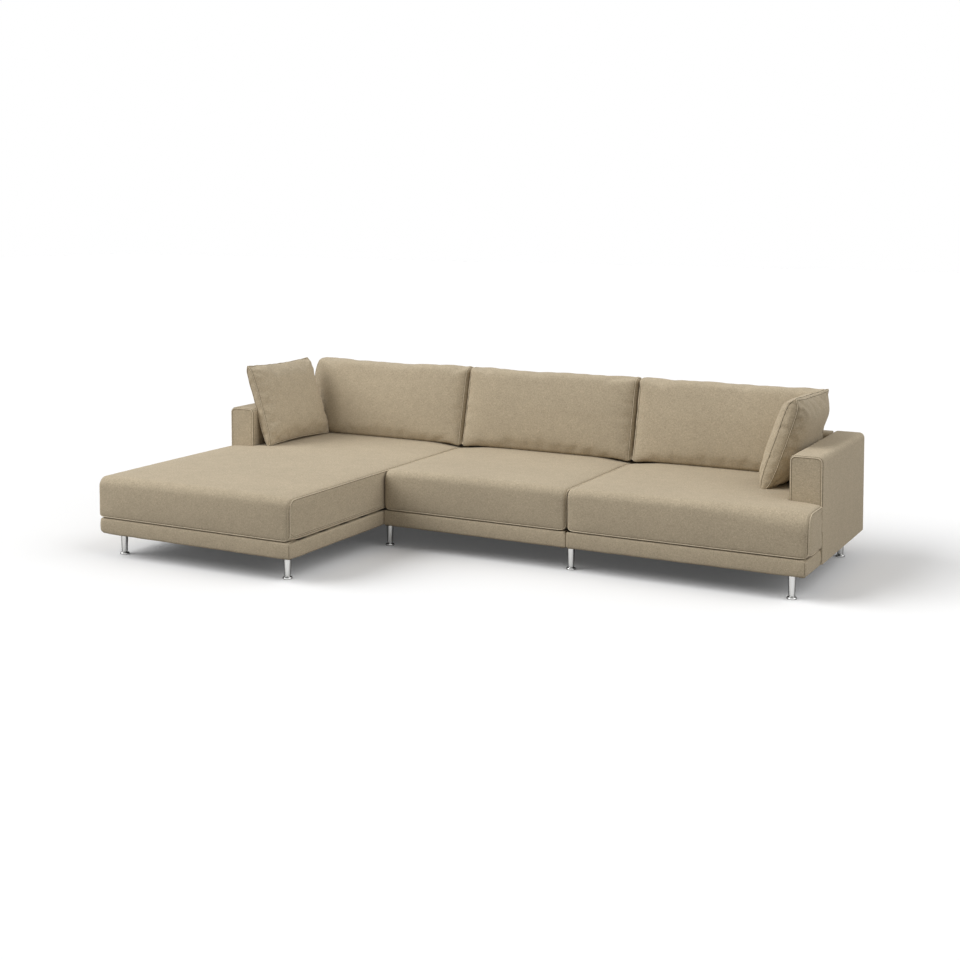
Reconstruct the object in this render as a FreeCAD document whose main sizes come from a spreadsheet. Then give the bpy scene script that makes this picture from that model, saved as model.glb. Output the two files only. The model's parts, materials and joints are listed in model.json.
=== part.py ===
import FreeCAD
import Part
import math
import os
import Sketcher
from FreeCAD import Vector

# A three-module sectional sofa on chromed legs: a chaise with a short arm on the left,
# an armless middle seat and a right seat with a full-height arm. Millimetres, +Z up,
# X to the right as one faces the sofa, Y towards its back, origin on the floor under its middle.

doc = FreeCAD.newDocument("SectionalSofa")

SIZES = [
    ("end_module_width", 1143),
    ("middle_module_width", 1010),
    ("sofa_depth", 1030),
    ("chaise_reach", 805),
    ("leg_height", 120),
    ("base_height", 75),
    ("base_wall", 12),
    ("base_front_corner_radius", 14),
    ("base_edge_radius", 5),
    ("deck_thickness", 4),
    ("dust_cover_thickness", 1.5),
    ("rail_thickness", 25),
    ("cross_rail_height", 38),
    ("strap_width", 60),
    ("strap_thickness", 2),
    ("strap_gap", 0.3),
    ("arm_top_height", 605),
    ("arm_width", 154),
    ("arm_setback", 245),
    ("arm_skirt_proud", 7),
    ("arm_top_radius", 26),
    ("arm_end_radius", 9),
    ("arm_padding", 22),
    ("arm_panel_margin", 13),
    ("arm_panel_depth", 3),
    ("arm_panel_proud", 1),
    ("arm_panel_radius", 20),
    ("back_thickness", 92),
    ("back_top_radius", 24),
    ("back_padding", 16),
    ("frame_member", 40),
    ("frame_fit", 0.3),
    ("leg_inset_front", 92),
    ("leg_inset_rear", 117),
    ("leg_inset_side", 77),
    ("junction_leg_inset", 62),
    ("leg_radius", 18.5),
    ("glide_radius", 24),
    ("glide_height", 10),
    ("plate_width", 84),
    ("plate_thickness", 3),
    ("tie_plate_length", 190),
    ("tie_plate_width", 60),
    ("seat_cushion_height", 206.7),
    ("seat_gap", 1),
    ("seat_front_proud", 8),
    ("seat_side_proud", 12),
    ("seat_edge_round", 60),
    ("seat_corner_radius", 42),
    ("seat_inner_corner_radius", 20),
    ("seat_arm_corner_radius", 6),
    ("seat_bow", 5),
    ("core_margin", 55),
    ("core_top_margin", 45),
    ("core_bottom_margin", 18),
    ("rest_gap", 0.3),
    ("back_cushion_height", 417),
    ("back_cushion_foot_depth", 150),
    ("back_cushion_lean", 122),
    ("back_cushion_overhang", 62),
    ("back_cushion_crown", 26),
    ("back_cushion_clearance", 4),
    ("pillow_width", 520),
    ("pillow_height", 436),
    ("pillow_room_swell", 72),
    ("pillow_gusset", 44),
    ("pillow_draw", 17),
    ("pillow_corner", 26),
    ("left_pillow_arm_swell", 32),
    ("left_pillow_lean", 14),
    ("left_pillow_turn", 4),
    ("left_pillow_foot_from_arm", 88),
    ("left_pillow_from_arm_front", 276),
    ("left_pillow_foot_press", 0),
    ("left_pillow_top_press", 0),
    ("right_pillow_arm_swell", 78),
    ("right_pillow_lean", 18),
    ("right_pillow_turn", -4),
    ("right_pillow_foot_from_arm", 143),
    ("right_pillow_from_arm_front", 398),
    ("right_pillow_foot_press", 125),
    ("right_pillow_top_press", 15),
]

PLACES = [
    ("junction_x", "Sizes.middle_module_width / 2"),
    ("half_width", "Sizes.end_module_width + Sizes.middle_module_width / 2"),
    ("arm_outer_x", "half_width + Sizes.arm_skirt_proud"),
    ("arm_inner_x", "arm_outer_x - Sizes.arm_width"),
    ("rear_y", "(Sizes.sofa_depth + Sizes.chaise_reach + Sizes.seat_front_proud) / 2"),
    ("front_y", "rear_y - Sizes.sofa_depth"),
    ("chaise_front_y", "front_y - Sizes.chaise_reach"),
    ("chaise_depth", "Sizes.sofa_depth + Sizes.chaise_reach"),
    ("arm_front_y", "front_y + Sizes.arm_setback"),
    ("arm_length", "Sizes.sofa_depth - Sizes.arm_setback"),
    ("back_front_y", "rear_y - Sizes.back_thickness"),
    ("deck_z", "Sizes.leg_height + Sizes.base_height"),
    ("arm_rise", "Sizes.arm_top_height - Sizes.leg_height"),
    ("upright_height", "Sizes.arm_top_height - deck_z"),
    ("rail_foot_z", "Sizes.leg_height + Sizes.dust_cover_thickness"),
    ("strap_mid_z", "deck_z - Sizes.deck_thickness - 3 * Sizes.strap_thickness / 2 - 2 * Sizes.strap_gap"),
    ("rail_height", "strap_mid_z - Sizes.strap_thickness / 2 - rail_foot_z"),
    ("seat_foot_z", "deck_z + Sizes.rest_gap"),
    ("seat_top_z", "seat_foot_z + Sizes.seat_cushion_height"),
    ("junction_leg_y", "front_y + Sizes.junction_leg_inset"),
    ("module_middle_y", "(front_y + rear_y) / 2"),
    ("leg_length", "Sizes.leg_height - Sizes.plate_thickness - Sizes.glide_height"),
    ("plate_z", "Sizes.leg_height - Sizes.plate_thickness"),
    ("core_z", "seat_foot_z + Sizes.core_bottom_margin"),
    ("core_height", "Sizes.seat_cushion_height - Sizes.core_bottom_margin - Sizes.core_top_margin"),
]

sizes = doc.addObject("Spreadsheet::Sheet", "Sizes")
for row, (alias, number) in enumerate(SIZES, start=1):
    sizes.set(f"A{row}", alias)
    sizes.set(f"B{row}", str(number))
    sizes.setAlias(f"B{row}", alias)
doc.recompute()

places = doc.addObject("Spreadsheet::Sheet", "Places")
for row, (alias, formula) in enumerate(PLACES, start=1):
    places.set(f"A{row}", alias)
    places.set(f"B{row}", "=" + formula)
    places.setAlias(f"B{row}", alias)
    doc.recompute()

SUBPARTS = []


def size(alias):
    """Driving size, in millimetres or degrees."""
    return float(getattr(sizes, alias))


def place(alias):
    """Place or length that follows from the driving sizes."""
    return float(getattr(places, alias))


def value(formula):
    """Number that a formula of sizes and places gives."""
    return float(places.evalExpression(formula))


def keep(feature, label):
    feature.Label = label
    SUBPARTS.append(feature)
    return feature


def put(feature, x, y, z):
    """Bind a feature's position to three formulas."""
    for axis, formula in zip("xyz", (x, y, z)):
        feature.setExpression(f"Placement.Base.{axis}", formula)
    return feature


def box(name, low, extent):
    """Box from its low corner and its three extents, all formulas."""
    solid = doc.addObject("Part::Box", name)
    for prop, formula in zip(("Length", "Width", "Height"), extent):
        solid.setExpression(prop, formula)
    return put(solid, *low)


def group(name, members):
    compound = doc.addObject("Part::Compound", name)
    compound.Links = members
    return compound


def origin_plane(body, role):
    return next(feature for feature in body.Origin.OriginFeatures if feature.Role == role)


def outline_sketch(body, name, role, points, offset="0"):
    """Closed outline on an origin plane; each point is two formulas, none of them negative."""
    sketch = body.newObject("Sketcher::SketchObject", name)
    sketch.AttachmentSupport = [(origin_plane(body, role), "")]
    sketch.MapMode = "FlatFace"
    sketch.setExpression("AttachmentOffset.Base.z", offset)
    count = len(points)
    guess = [Vector(*(value(formula) for formula in point), 0) for point in points]
    for index in range(count):
        sketch.addGeometry(Part.LineSegment(guess[index], guess[(index + 1) % count]), False)
    for index in range(count):
        sketch.addConstraint(Sketcher.Constraint("Coincident", index, 2, (index + 1) % count, 1))
    for index, (across, up) in enumerate(points):
        for kind, formula, axis in (("DistanceX", across, -2), ("DistanceY", up, -1)):
            if formula == "0":
                sketch.addConstraint(Sketcher.Constraint("PointOnObject", index, 1, axis))
                continue
            reach = guess[index].x if kind == "DistanceX" else guess[index].y
            number = sketch.addConstraint(Sketcher.Constraint(kind, -1, 1, index, 1, reach))
            sketch.setExpression(f"Constraints[{number}]", formula)
    return sketch


def rectangle(left, low, right, high):
    return [(left, low), (right, low), (right, high), (left, high)]


def pad(body, sketch, length, backwards=False):
    feature = body.newObject("PartDesign::Pad", sketch.Name + "Pad")
    feature.Profile = sketch
    feature.setExpression("Length", length)
    feature.Reversed = backwards
    doc.recompute()
    return feature


def pocket(body, sketch, depth, backwards=False):
    """Pocket that is checked to take material away."""
    before = body.Shape.Volume
    feature = body.newObject("PartDesign::Pocket", sketch.Name + "Pocket")
    feature.Profile = sketch
    feature.setExpression("Length", depth)
    feature.Reversed = backwards
    doc.recompute()
    if not body.Shape.Volume < before:
        raise RuntimeError(body.Name + " pocket cuts nothing")
    return feature


def round_edges(body, radius, chosen):
    """Fillet of the body's edges that the given test picks."""
    base = body.Tip
    names = [f"Edge{i}" for i, edge in enumerate(base.Shape.Edges, start=1) if chosen(edge)]
    feature = body.newObject("PartDesign::Fillet", f"{body.Name}Fillet")
    feature.Base = (base, names)
    feature.setExpression("Radius", radius)
    doc.recompute()
    return feature


def edge_runs(edge, axis):
    """Whether a straight edge runs along one of x, y and z."""
    start, end = edge.Vertexes[0].Point, edge.Vertexes[-1].Point
    along = end.sub(start)
    return along.Length > 0 and abs(getattr(along, axis)) > along.Length * STRAIGHT_SHARE


def edge_middle(edge):
    return edge.CenterOfMass


STRAIGHT_SHARE = 0.999
NEAR = size("frame_fit")

# Modules from left to right: name, left and right side, front, and what they carry.
MODULES = [
    ("chaise", "-Places.half_width", "-Places.junction_x", "Places.chaise_front_y", "Places.chaise_depth"),
    ("middle", "-Places.junction_x", "Places.junction_x", "Places.front_y", "Sizes.sofa_depth"),
    ("right", "Places.junction_x", "Places.half_width", "Places.front_y", "Sizes.sofa_depth"),
]
CROSS_RAIL_PLACES = {
    "chaise": ["(Places.chaise_front_y + Places.junction_leg_y) / 2", "Places.junction_leg_y",
               "(Places.junction_leg_y + Places.rear_y) / 2"],
    "middle": ["Places.module_middle_y"],
    "right": ["Places.module_middle_y"],
}
STRAPS_EACH_WAY = 5
CHAISE_STRAPS_ACROSS = 10
BACK_WINDOWS = 3
ARM_WINDOWS = 2


# Base platform


def base_cover(name, left, width, front, depth):
    """Upholstered skirt and deck of one module, open below."""
    body = doc.addObject("PartDesign::Body", f"{name}_base_cover")
    outline = outline_sketch(body, f"{name}BaseOutline", "XY_Plane", rectangle("0", "0", width, depth))
    pad(body, outline, "Sizes.base_height")
    round_edges(body, "Sizes.base_front_corner_radius",
                lambda edge: edge_runs(edge, "z") and edge_middle(edge).y < NEAR)
    round_edges(body, "Sizes.base_edge_radius", lambda edge: abs(edge_middle(edge).z) < NEAR)
    wall = "Sizes.base_wall"
    hollow = outline_sketch(body, f"{name}BaseHollow", "XY_Plane",
                            rectangle(wall, wall, f"{width} - {wall}", f"{depth} - {wall}"))
    pocket(body, hollow, "Sizes.base_height - Sizes.deck_thickness", backwards=True)
    put(body, left, front, "Sizes.leg_height")
    return keep(body, f"{name}_base_cover")


def base_rails(name, left, width, front, depth):
    """Timber rails inside one base: front, rear, the pair of sides and the cross rails."""
    wall, thick = "Sizes.base_wall", "Sizes.rail_thickness"
    inner_width = f"{width} - 2 * {wall}"
    foot = "Places.rail_foot_z"
    extent = (inner_width, thick, "Places.rail_height")
    front_rail = box(f"{name}_front_rail", (f"{left} + {wall}", f"{front} + {wall}", foot), extent)
    rear_y = f"{front} + {depth} - {wall} - {thick}"
    rear_rail = box(f"{name}_rear_rail", (f"{left} + {wall}", rear_y, foot), extent)
    keep(front_rail, f"{name}_front_rail")
    keep(rear_rail, f"{name}_rear_rail")
    between = f"{depth} - 2 * {wall} - 2 * {thick}"
    side_extent = (thick, between, "Places.rail_height")
    side_front = f"{front} + {wall} + {thick}"
    sides = [
        box(f"{name}LeftSideRail", (f"{left} + {wall}", side_front, foot), side_extent),
        box(f"{name}RightSideRail", (f"{left} + {width} - {wall} - {thick}", side_front, foot), side_extent),
    ]
    keep(group(f"{name}_side_rails", sides), f"{name}_side_rails")
    cross = []
    for number, middle in enumerate(CROSS_RAIL_PLACES[name], start=1):
        low = (f"{left} + {wall} + {thick}", f"{middle} - {thick} / 2", foot)
        extent = (f"{inner_width} - 2 * {thick}", thick, "Sizes.cross_rail_height")
        cross.append(box(f"{name}CrossRail{number}", low, extent))
    keep(group(f"{name}_cross_rails", cross), f"{name}_cross_rails")


def woven_strap(start, end, middles, over_first):
    """Lengthwise strap as a solid round x = 0, over and under the straps it crosses, z = 0 at their middle."""
    thick, gap = size("strap_thickness"), size("strap_gap")
    lift = thick + gap
    run = size("strap_width") / 2 + lift
    on_rail = size("rail_thickness")
    line = [(start, 0.0), (start + on_rail, 0.0)]
    for index, middle in enumerate(middles):
        level = lift if (index % 2 == 0) == over_first else -lift
        line.append((middle - run, level))
        line.append((middle + run, level))
    line += [(end - on_rail, 0.0), (end, 0.0)]
    half = thick / 2
    width = size("strap_width")
    top = [Vector(-width / 2, y, z + half) for y, z in line]
    bottom = [Vector(-width / 2, y, z - half) for y, z in reversed(line)]
    outline = Part.makePolygon(top + bottom + top[:1])
    return Part.Face(outline).extrude(Vector(width, 0, 0))


def webbing(name, left, width, front, depth):
    """Elastic webbing woven across one base, its ends on the rails."""
    wall, rail = "Sizes.base_wall", "Sizes.rail_thickness"
    count = CHAISE_STRAPS_ACROSS if name == "chaise" else STRAPS_EACH_WAY
    open_depth = f"({depth} - 2 * {wall} - 2 * {rail})"
    straps = []
    middles = []
    for index in range(count):
        middle = f"{front} + {wall} + {rail} + {open_depth} * {2 * index + 1} / {2 * count}"
        middles.append(value(middle))
        low = (f"{left} + {wall}", f"{middle} - Sizes.strap_width / 2",
               "Places.strap_mid_z - Sizes.strap_thickness / 2")
        extent = (f"{width} - 2 * {wall}", "Sizes.strap_width", "Sizes.strap_thickness")
        straps.append(box(f"{name}StrapAcross{index + 1}", low, extent))
    open_width = f"({width} - 2 * {wall} - 2 * {rail})"
    for index in range(STRAPS_EACH_WAY):
        x = value(f"{left} + {wall} + {rail} + {open_width} * {2 * index + 1} / {2 * STRAPS_EACH_WAY}")
        start = value(f"{front} + {wall}")
        end = value(f"{front} + {depth} - {wall}")
        strap = doc.addObject("Part::Feature", f"{name}StrapLengthwise{index + 1}")
        strap.Shape = woven_strap(start, end, middles, index % 2 == 0)
        strap.Placement = FreeCAD.Placement(Vector(x, 0, place("strap_mid_z")), FreeCAD.Rotation())
        straps.append(strap)
    keep(group(f"{name}_webbing", straps), f"{name}_webbing")


def dust_cover(name, left, width, front, depth):
    """Black cloth stapled under the rails."""
    wall = "Sizes.base_wall"
    low = (f"{left} + {wall}", f"{front} + {wall}", "Sizes.leg_height")
    extent = (f"{width} - 2 * {wall}", f"{depth} - 2 * {wall}", "Sizes.dust_cover_thickness")
    keep(box(f"{name}_dust_cover", low, extent), f"{name}_dust_cover")


for module, left_side, right_side, front_side, module_depth in MODULES:
    module_width = f"({right_side} - ({left_side}))"
    base_cover(module, left_side, module_width, front_side, module_depth)
    base_rails(module, left_side, module_width, front_side, module_depth)
    webbing(module, left_side, module_width, front_side, module_depth)
    dust_cover(module, left_side, module_width, front_side, module_depth)


# Arms and backs


def windowed_frame(label, role, length, height, thickness, windows, backwards, low):
    """Glued ply frame with windows between its posts, standing on the deck."""
    body = doc.addObject("PartDesign::Body", label)
    outline = outline_sketch(body, f"{label}Outline", role, rectangle("0", "0", length, height))
    pad(body, outline, thickness, backwards)
    post = "Sizes.frame_member"
    window = f"(({length} - {post}) / {windows} - {post})"
    opening = outline_sketch(body, f"{label}Window", role,
                             rectangle(post, post, f"{post} + {window}", f"{height} - {post}"))
    cut = pocket(body, opening, thickness, not backwards)
    pattern = body.newObject("PartDesign::LinearPattern", f"{label}Windows")
    pattern.Originals = [cut]
    pattern.Direction = (opening, ["H_Axis"])
    pattern.setExpression("Length", f"({length} - {post}) * {windows - 1} / {windows}")
    pattern.Occurrences = windows
    body.Tip = pattern
    put(body, *low)
    return keep(body, label)


def arm(name, side):
    """One arm: its upholstered cover with a skirt over the base's side, its front panel and its frame."""
    width, proud, rise = "Sizes.arm_width", "Sizes.arm_skirt_proud", "Places.arm_rise"
    padding = "Sizes.arm_padding"
    left = side < 0
    low_x = "-Places.arm_outer_x" if left else "Places.arm_inner_x"
    if left:
        profile = [("0", "0"), (proud, "0"), (proud, "Sizes.base_height"), (width, "Sizes.base_height"),
                   (width, rise), ("0", rise)]
    else:
        profile = [("0", "Sizes.base_height"), (f"{width} - {proud}", "Sizes.base_height"),
                   (f"{width} - {proud}", "0"), (width, "0"), (width, rise), ("0", rise)]
    body = doc.addObject("PartDesign::Body", f"{name}_arm_cover")
    pad(body, outline_sketch(body, f"{name}ArmProfile", "XZ_Plane", profile), "Places.arm_length", True)
    top = value(rise)
    length = place("arm_length")
    skirt_height = size("base_height")
    round_edges(body, "Sizes.arm_top_radius",
                lambda edge: edge_runs(edge, "y") and edge_middle(edge).z > top - NEAR)
    margin = "Sizes.arm_panel_margin"
    panel_area = rectangle(margin, "Sizes.base_height", f"{width} - {margin}", f"{rise} - {margin}")
    recess = outline_sketch(body, f"{name}ArmRecess", "XZ_Plane", panel_area)
    pocket(body, recess, "Sizes.arm_panel_depth")
    recess_depth = size("arm_panel_depth")
    round_edges(body, "Sizes.arm_panel_radius",
                lambda edge: edge_runs(edge, "y") and abs(edge.Length - recess_depth) < NEAR
                and edge_middle(edge).z > skirt_height + NEAR)
    near_side, far_side = value(margin), value(f"{width} - {margin}")
    panel_top = value(f"{rise} - {margin}")

    def round_end(edge):
        middle = edge_middle(edge)
        at_end = middle.y < NEAR or middle.y > length - NEAR
        of_panel = near_side - NEAR < middle.x < far_side + NEAR and middle.z < panel_top + NEAR
        return at_end and middle.z > skirt_height + NEAR and not of_panel

    round_edges(body, "Sizes.arm_end_radius", round_end)
    hollow = outline_sketch(body, f"{name}ArmHollow", "XY_Plane",
                            rectangle(f"{padding} + {proud}", padding, f"{width} - {padding}",
                                      f"Places.arm_length - {padding}"),
                            "Sizes.base_height")
    pocket(body, hollow, f"Places.upright_height - {padding}", backwards=True)
    put(body, low_x, "Places.arm_front_y", "Sizes.leg_height")
    keep(body, f"{name}_arm_cover")

    panel = doc.addObject("PartDesign::Body", f"{name}_arm_front_panel")
    pad(panel, outline_sketch(panel, f"{name}PanelOutline", "XZ_Plane", panel_area),
        "Sizes.arm_panel_depth + Sizes.arm_panel_proud", True)
    round_edges(panel, "Sizes.arm_panel_radius",
                lambda edge: edge_runs(edge, "y") and edge_middle(edge).z > skirt_height + NEAR)
    put(panel, low_x, "Places.arm_front_y - Sizes.arm_panel_proud", "Sizes.leg_height")
    keep(panel, f"{name}_arm_front_panel")

    fit = "Sizes.frame_fit"
    hollow_left = f"{low_x} + {padding} + {proud}"
    windowed_frame(f"{name}_arm_frame", "YZ_Plane", f"(Places.arm_length - 2 * {padding} - 2 * {fit})",
                   f"(Places.upright_height - {padding} - {fit})",
                   f"({width} - {proud} - 2 * {padding} - 2 * {fit})", ARM_WINDOWS, False,
                   (f"{hollow_left} + {fit}", f"Places.arm_front_y + {padding} + {fit}", "Places.deck_z"))


def back(name, left, right):
    """One back: its upholstered cover standing on the deck and its frame."""
    padding, fit = "Sizes.back_padding", "Sizes.frame_fit"
    width = f"({right} - ({left}))"
    thickness = "Sizes.back_thickness"
    body = doc.addObject("PartDesign::Body", f"{name}_back_cover")
    outline = outline_sketch(body, f"{name}BackOutline", "YZ_Plane",
                             rectangle("0", "0", thickness, "Places.upright_height"))
    pad(body, outline, width)
    top = place("upright_height")
    round_edges(body, "Sizes.back_top_radius",
                lambda edge: edge_runs(edge, "x") and edge_middle(edge).z > top - NEAR)
    hollow = outline_sketch(body, f"{name}BackHollow", "XY_Plane",
                            rectangle(padding, padding, f"{width} - {padding}", f"{thickness} - {padding}"))
    pocket(body, hollow, f"Places.upright_height - {padding}", backwards=True)
    put(body, left, "Places.back_front_y", "Places.deck_z")
    keep(body, f"{name}_back_cover")
    windowed_frame(f"{name}_back_frame", "XZ_Plane", f"({width} - 2 * {padding} - 2 * {fit})",
                   f"(Places.upright_height - {padding} - {fit})",
                   f"({thickness} - 2 * {padding} - 2 * {fit})", BACK_WINDOWS, True,
                   (f"{left} + {padding} + {fit}", f"Places.back_front_y + {padding} + {fit}", "Places.deck_z"))


arm("left", -1)
arm("right", 1)
back("chaise", "-Places.arm_inner_x", "-Places.junction_x")
back("middle", "-Places.junction_x", "Places.junction_x")
back("right", "Places.junction_x", "Places.arm_inner_x")


# Legs


def turned_body(label, profile, x, y, z):
    """Round piece from half its outline, in radius and height."""
    body = doc.addObject("PartDesign::Body", label)
    sketch = outline_sketch(body, f"{label}Profile", "XZ_Plane", profile)
    turn = body.newObject("PartDesign::Revolution", f"{label}Turn")
    turn.Profile = sketch
    turn.ReferenceAxis = (sketch, ["V_Axis"])
    turn.Angle = 360
    return put(body, x, y, z)


REAR_LEG_Y = "Places.rear_y - Sizes.leg_inset_rear"
CHAISE_LEG_Y = "Places.chaise_front_y + Sizes.leg_inset_front"
LEFT_LEG_X = "-Places.half_width + Sizes.leg_inset_side"
RIGHT_LEG_X = "Places.half_width - Sizes.leg_inset_side"
LEGS = {
    "chaise_front_legs": [
        (LEFT_LEG_X, CHAISE_LEG_Y),
        ("-Places.junction_x - Sizes.leg_inset_side", CHAISE_LEG_Y),
    ],
    "front_legs": [
        ("-Places.junction_x", "Places.junction_leg_y"),
        ("Places.junction_x", "Places.junction_leg_y"),
        (RIGHT_LEG_X, "Places.junction_leg_y"),
    ],
    "rear_legs": [
        (LEFT_LEG_X, REAR_LEG_Y),
        ("-Places.junction_x", REAR_LEG_Y),
        ("Places.junction_x", REAR_LEG_Y),
        (RIGHT_LEG_X, REAR_LEG_Y),
    ],
}
LEG_OUTLINE = rectangle("0", "0", "Sizes.leg_radius", "Places.leg_length")
GLIDE_OUTLINE = rectangle("0", "0", "Sizes.glide_radius", "Sizes.glide_height")

glides = []
plates = []
for row_name, row_places in LEGS.items():
    legs = []
    for number, (leg_x, leg_y) in enumerate(row_places, start=1):
        spot = f"{row_name}{number}"
        legs.append(turned_body(f"{spot}Leg", LEG_OUTLINE, leg_x, leg_y, "Sizes.glide_height"))
        glides.append(turned_body(f"{spot}Glide", GLIDE_OUTLINE, leg_x, leg_y, "0"))
        plate_low = (f"{leg_x} - Sizes.plate_width / 2", f"{leg_y} - Sizes.plate_width / 2", "Places.plate_z")
        plate_extent = ("Sizes.plate_width", "Sizes.plate_width", "Sizes.plate_thickness")
        plates.append(box(f"{spot}Plate", plate_low, plate_extent))
    keep(group(row_name, legs), row_name)
keep(group("leg_glides", glides), "leg_glides")
keep(group("leg_plates", plates), "leg_plates")

tie_plates = []
for sign in ("-", ""):
    tie_low = (f"{sign}Places.junction_x - Sizes.tie_plate_length / 2",
               "Places.module_middle_y - Sizes.tie_plate_width / 2", "Places.plate_z")
    tie_extent = ("Sizes.tie_plate_length", "Sizes.tie_plate_width", "Sizes.plate_thickness")
    tie_plates.append(box(f"TiePlate{len(tie_plates) + 1}", tie_low, tie_extent))
keep(group("module_tie_plates", tie_plates), "module_tie_plates")


# Cushions


SIDE_CHORDS = 5
CORNER_CHORDS = 4
FLAT_WITHIN = 1e-9


def arc_points(start, middle, end, chords):
    """Points along an arc through three points, its end left out."""
    return Part.Arc(start, middle, end).toShape().discretize(chords + 1)[:-1]


def rounded_loop(corners, cuts, bows, height):
    """Closed row of points at one height: corners cut back and rounded, sides bowed outwards or drawn in."""
    count = len(corners)
    steps = [(corners[(i + 1) % count] - corners[i]).normalize() for i in range(count)]
    points = []
    for i in range(count):
        after = corners[(i + 1) % count]
        step, turn = steps[i], steps[(i + 1) % count]
        cut = cuts[(i + 1) % count]
        start, end = corners[i] + step * cuts[i], after - step * cut
        outwards = Vector(step.y, -step.x, 0)
        if bows[i]:
            points += arc_points(start, (start + end) * 0.5 + outwards * bows[i], end, SIDE_CHORDS)
        else:
            points.append(start)
        half_turn = step.getAngle(turn) / 2
        arc_middle = after + (turn - step).normalize() * cut * math.tan(half_turn / 2)
        points += arc_points(end, arc_middle, after + turn * cut, CORNER_CHORDS)
    return [point + Vector(0, 0, height) for point in points]


def panel(*points):
    return Part.Face(Part.makePolygon(list(points) + [points[0]]))


def quilted_solid(loops):
    """Solid through rows of as many points each: a flat panel between neighbours, halved where they twist."""
    panels = [panel(*loops[0]), panel(*loops[-1])]
    for low, high in zip(loops, loops[1:]):
        for here in range(len(low)):
            after = (here + 1) % len(low)
            first, second, third, fourth = low[here], low[after], high[after], high[here]
            normal = (second - first).cross(third - first).normalize()
            if abs((fourth - first).dot(normal)) < FLAT_WITHIN:
                panels.append(panel(first, second, third, fourth))
            else:
                panels += [panel(first, second, third), panel(first, third, fourth)]
    shell = Part.makeShell(panels)
    shell.sewShape()
    return Part.makeSolid(shell)


def corners_of(sides):
    """Corners where neighbouring sides meet; each side is an axis and its place."""
    found = []
    for (axis_a, place_a), (_, place_b) in zip([sides[-1]] + sides[:-1], sides):
        found.append(Vector(place_a, place_b, 0) if axis_a == "x" else Vector(place_b, place_a, 0))
    return found


# Rows from the foot of a seat cushion to its crown: height, and how far its sides stand in,
# as a share of the cushion's height and of its edge rounding.
SEAT_SHARES = [
    (0.0, 0.34), (0.045, 0.10), (0.16, 0.02), (0.42, 0.0), (0.66, 0.05), (0.80, 0.18),
    (0.89, 0.42), (0.95, 0.80), (0.985, 1.3), (1.0, 2.0),
]
FRONT_SHARE = 0.95
FREE_SHARE = 0.8
TIGHT_SHARE = 0.42
CROWN_CORNER_SHARE = 0.3


def seat_loft(sides, radii, bows):
    """Crowned cushion; a side is its axis, its place at full width, the way inwards and its rounding share."""
    height, rounding = size("seat_cushion_height"), size("seat_edge_round")
    loops = []
    for height_share, inset_share in SEAT_SHARES:
        inset = inset_share * rounding
        moved = [(axis, at + inwards * inset * share) for axis, at, inwards, share in sides]
        tightened = [radius * (1 - CROWN_CORNER_SHARE * inset_share) for radius in radii]
        level = place("seat_foot_z") + height_share * height
        loops.append(rounded_loop(corners_of(moved), tightened, bows, level))
    return quilted_solid(loops)


def core_outline(sides):
    """Plan of the foam core: the cushion's plan, drawn in by the wadding's thickness."""
    margin = size("core_margin")
    return corners_of([(axis, at + inwards * margin) for axis, at, inwards, share in sides])


def prism(corners, low, high):
    base = Part.makePolygon([Vector(p.x, p.y, low) for p in corners + corners[:1]])
    return Part.Face(base).extrude(Vector(0, 0, high - low))


def seat_cushion(name, sides, radii, bows):
    """Cover and wadding as one hollow solid, with the foam core in it."""
    gap = size("rest_gap")
    low, high = place("core_z"), place("core_z") + place("core_height")
    core_plan = core_outline(sides)
    grown = corners_of([(axis, at + inwards * (size("core_margin") - gap))
                        for axis, at, inwards, share in sides])
    cover = doc.addObject("Part::Feature", f"{name}_seat_cushion")
    cover.Shape = seat_loft(sides, radii, bows).cut(prism(grown, low - gap, high + gap))
    keep(cover, f"{name}_seat_cushion")
    core = doc.addObject("Part::Feature", f"{name}_seat_core")
    core.Shape = prism(core_plan, low, high)
    keep(core, f"{name}_seat_core")


gap = size("seat_gap")
bow = size("seat_bow")
corner = size("seat_corner_radius")
inner_corner = size("seat_inner_corner_radius")
arm_corner = size("seat_arm_corner_radius")
outer_x = place("half_width") + size("seat_side_proud") - bow
junction = place("junction_x") - gap
arm_x = place("arm_inner_x") - gap
arm_y = place("arm_front_y") - gap - size("arm_panel_proud")
back_y = place("back_front_y") - gap
front = place("front_y") - size("seat_front_proud") + bow
chaise_front = place("chaise_front_y") - size("seat_front_proud") + bow

seat_cushion("chaise", [
    ("y", chaise_front, 1, FRONT_SHARE),
    ("x", -junction - 2 * gap, -1, TIGHT_SHARE),
    ("y", back_y, -1, TIGHT_SHARE),
    ("x", -arm_x, 1, TIGHT_SHARE),
    ("y", arm_y, -1, TIGHT_SHARE),
    ("x", -outer_x, 1, FREE_SHARE),
], [corner, corner, inner_corner, inner_corner, arm_corner, inner_corner], [bow, -bow, -bow, -bow, -bow, bow])

seat_cushion("middle", [
    ("y", front, 1, FRONT_SHARE),
    ("x", junction, -1, TIGHT_SHARE),
    ("y", back_y, -1, TIGHT_SHARE),
    ("x", -junction, 1, TIGHT_SHARE),
], [corner, corner, inner_corner, inner_corner], [bow, -bow, -bow, -bow])

seat_cushion("right", [
    ("y", front, 1, FRONT_SHARE),
    ("x", outer_x, -1, FREE_SHARE),
    ("y", arm_y, -1, TIGHT_SHARE),
    ("x", arm_x, -1, TIGHT_SHARE),
    ("y", back_y, -1, TIGHT_SHARE),
    ("x", junction + 2 * gap, 1, TIGHT_SHARE),
], [corner, corner, inner_corner, arm_corner, inner_corner, inner_corner], [bow, bow, -bow, -bow, -bow, -bow])

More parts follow.
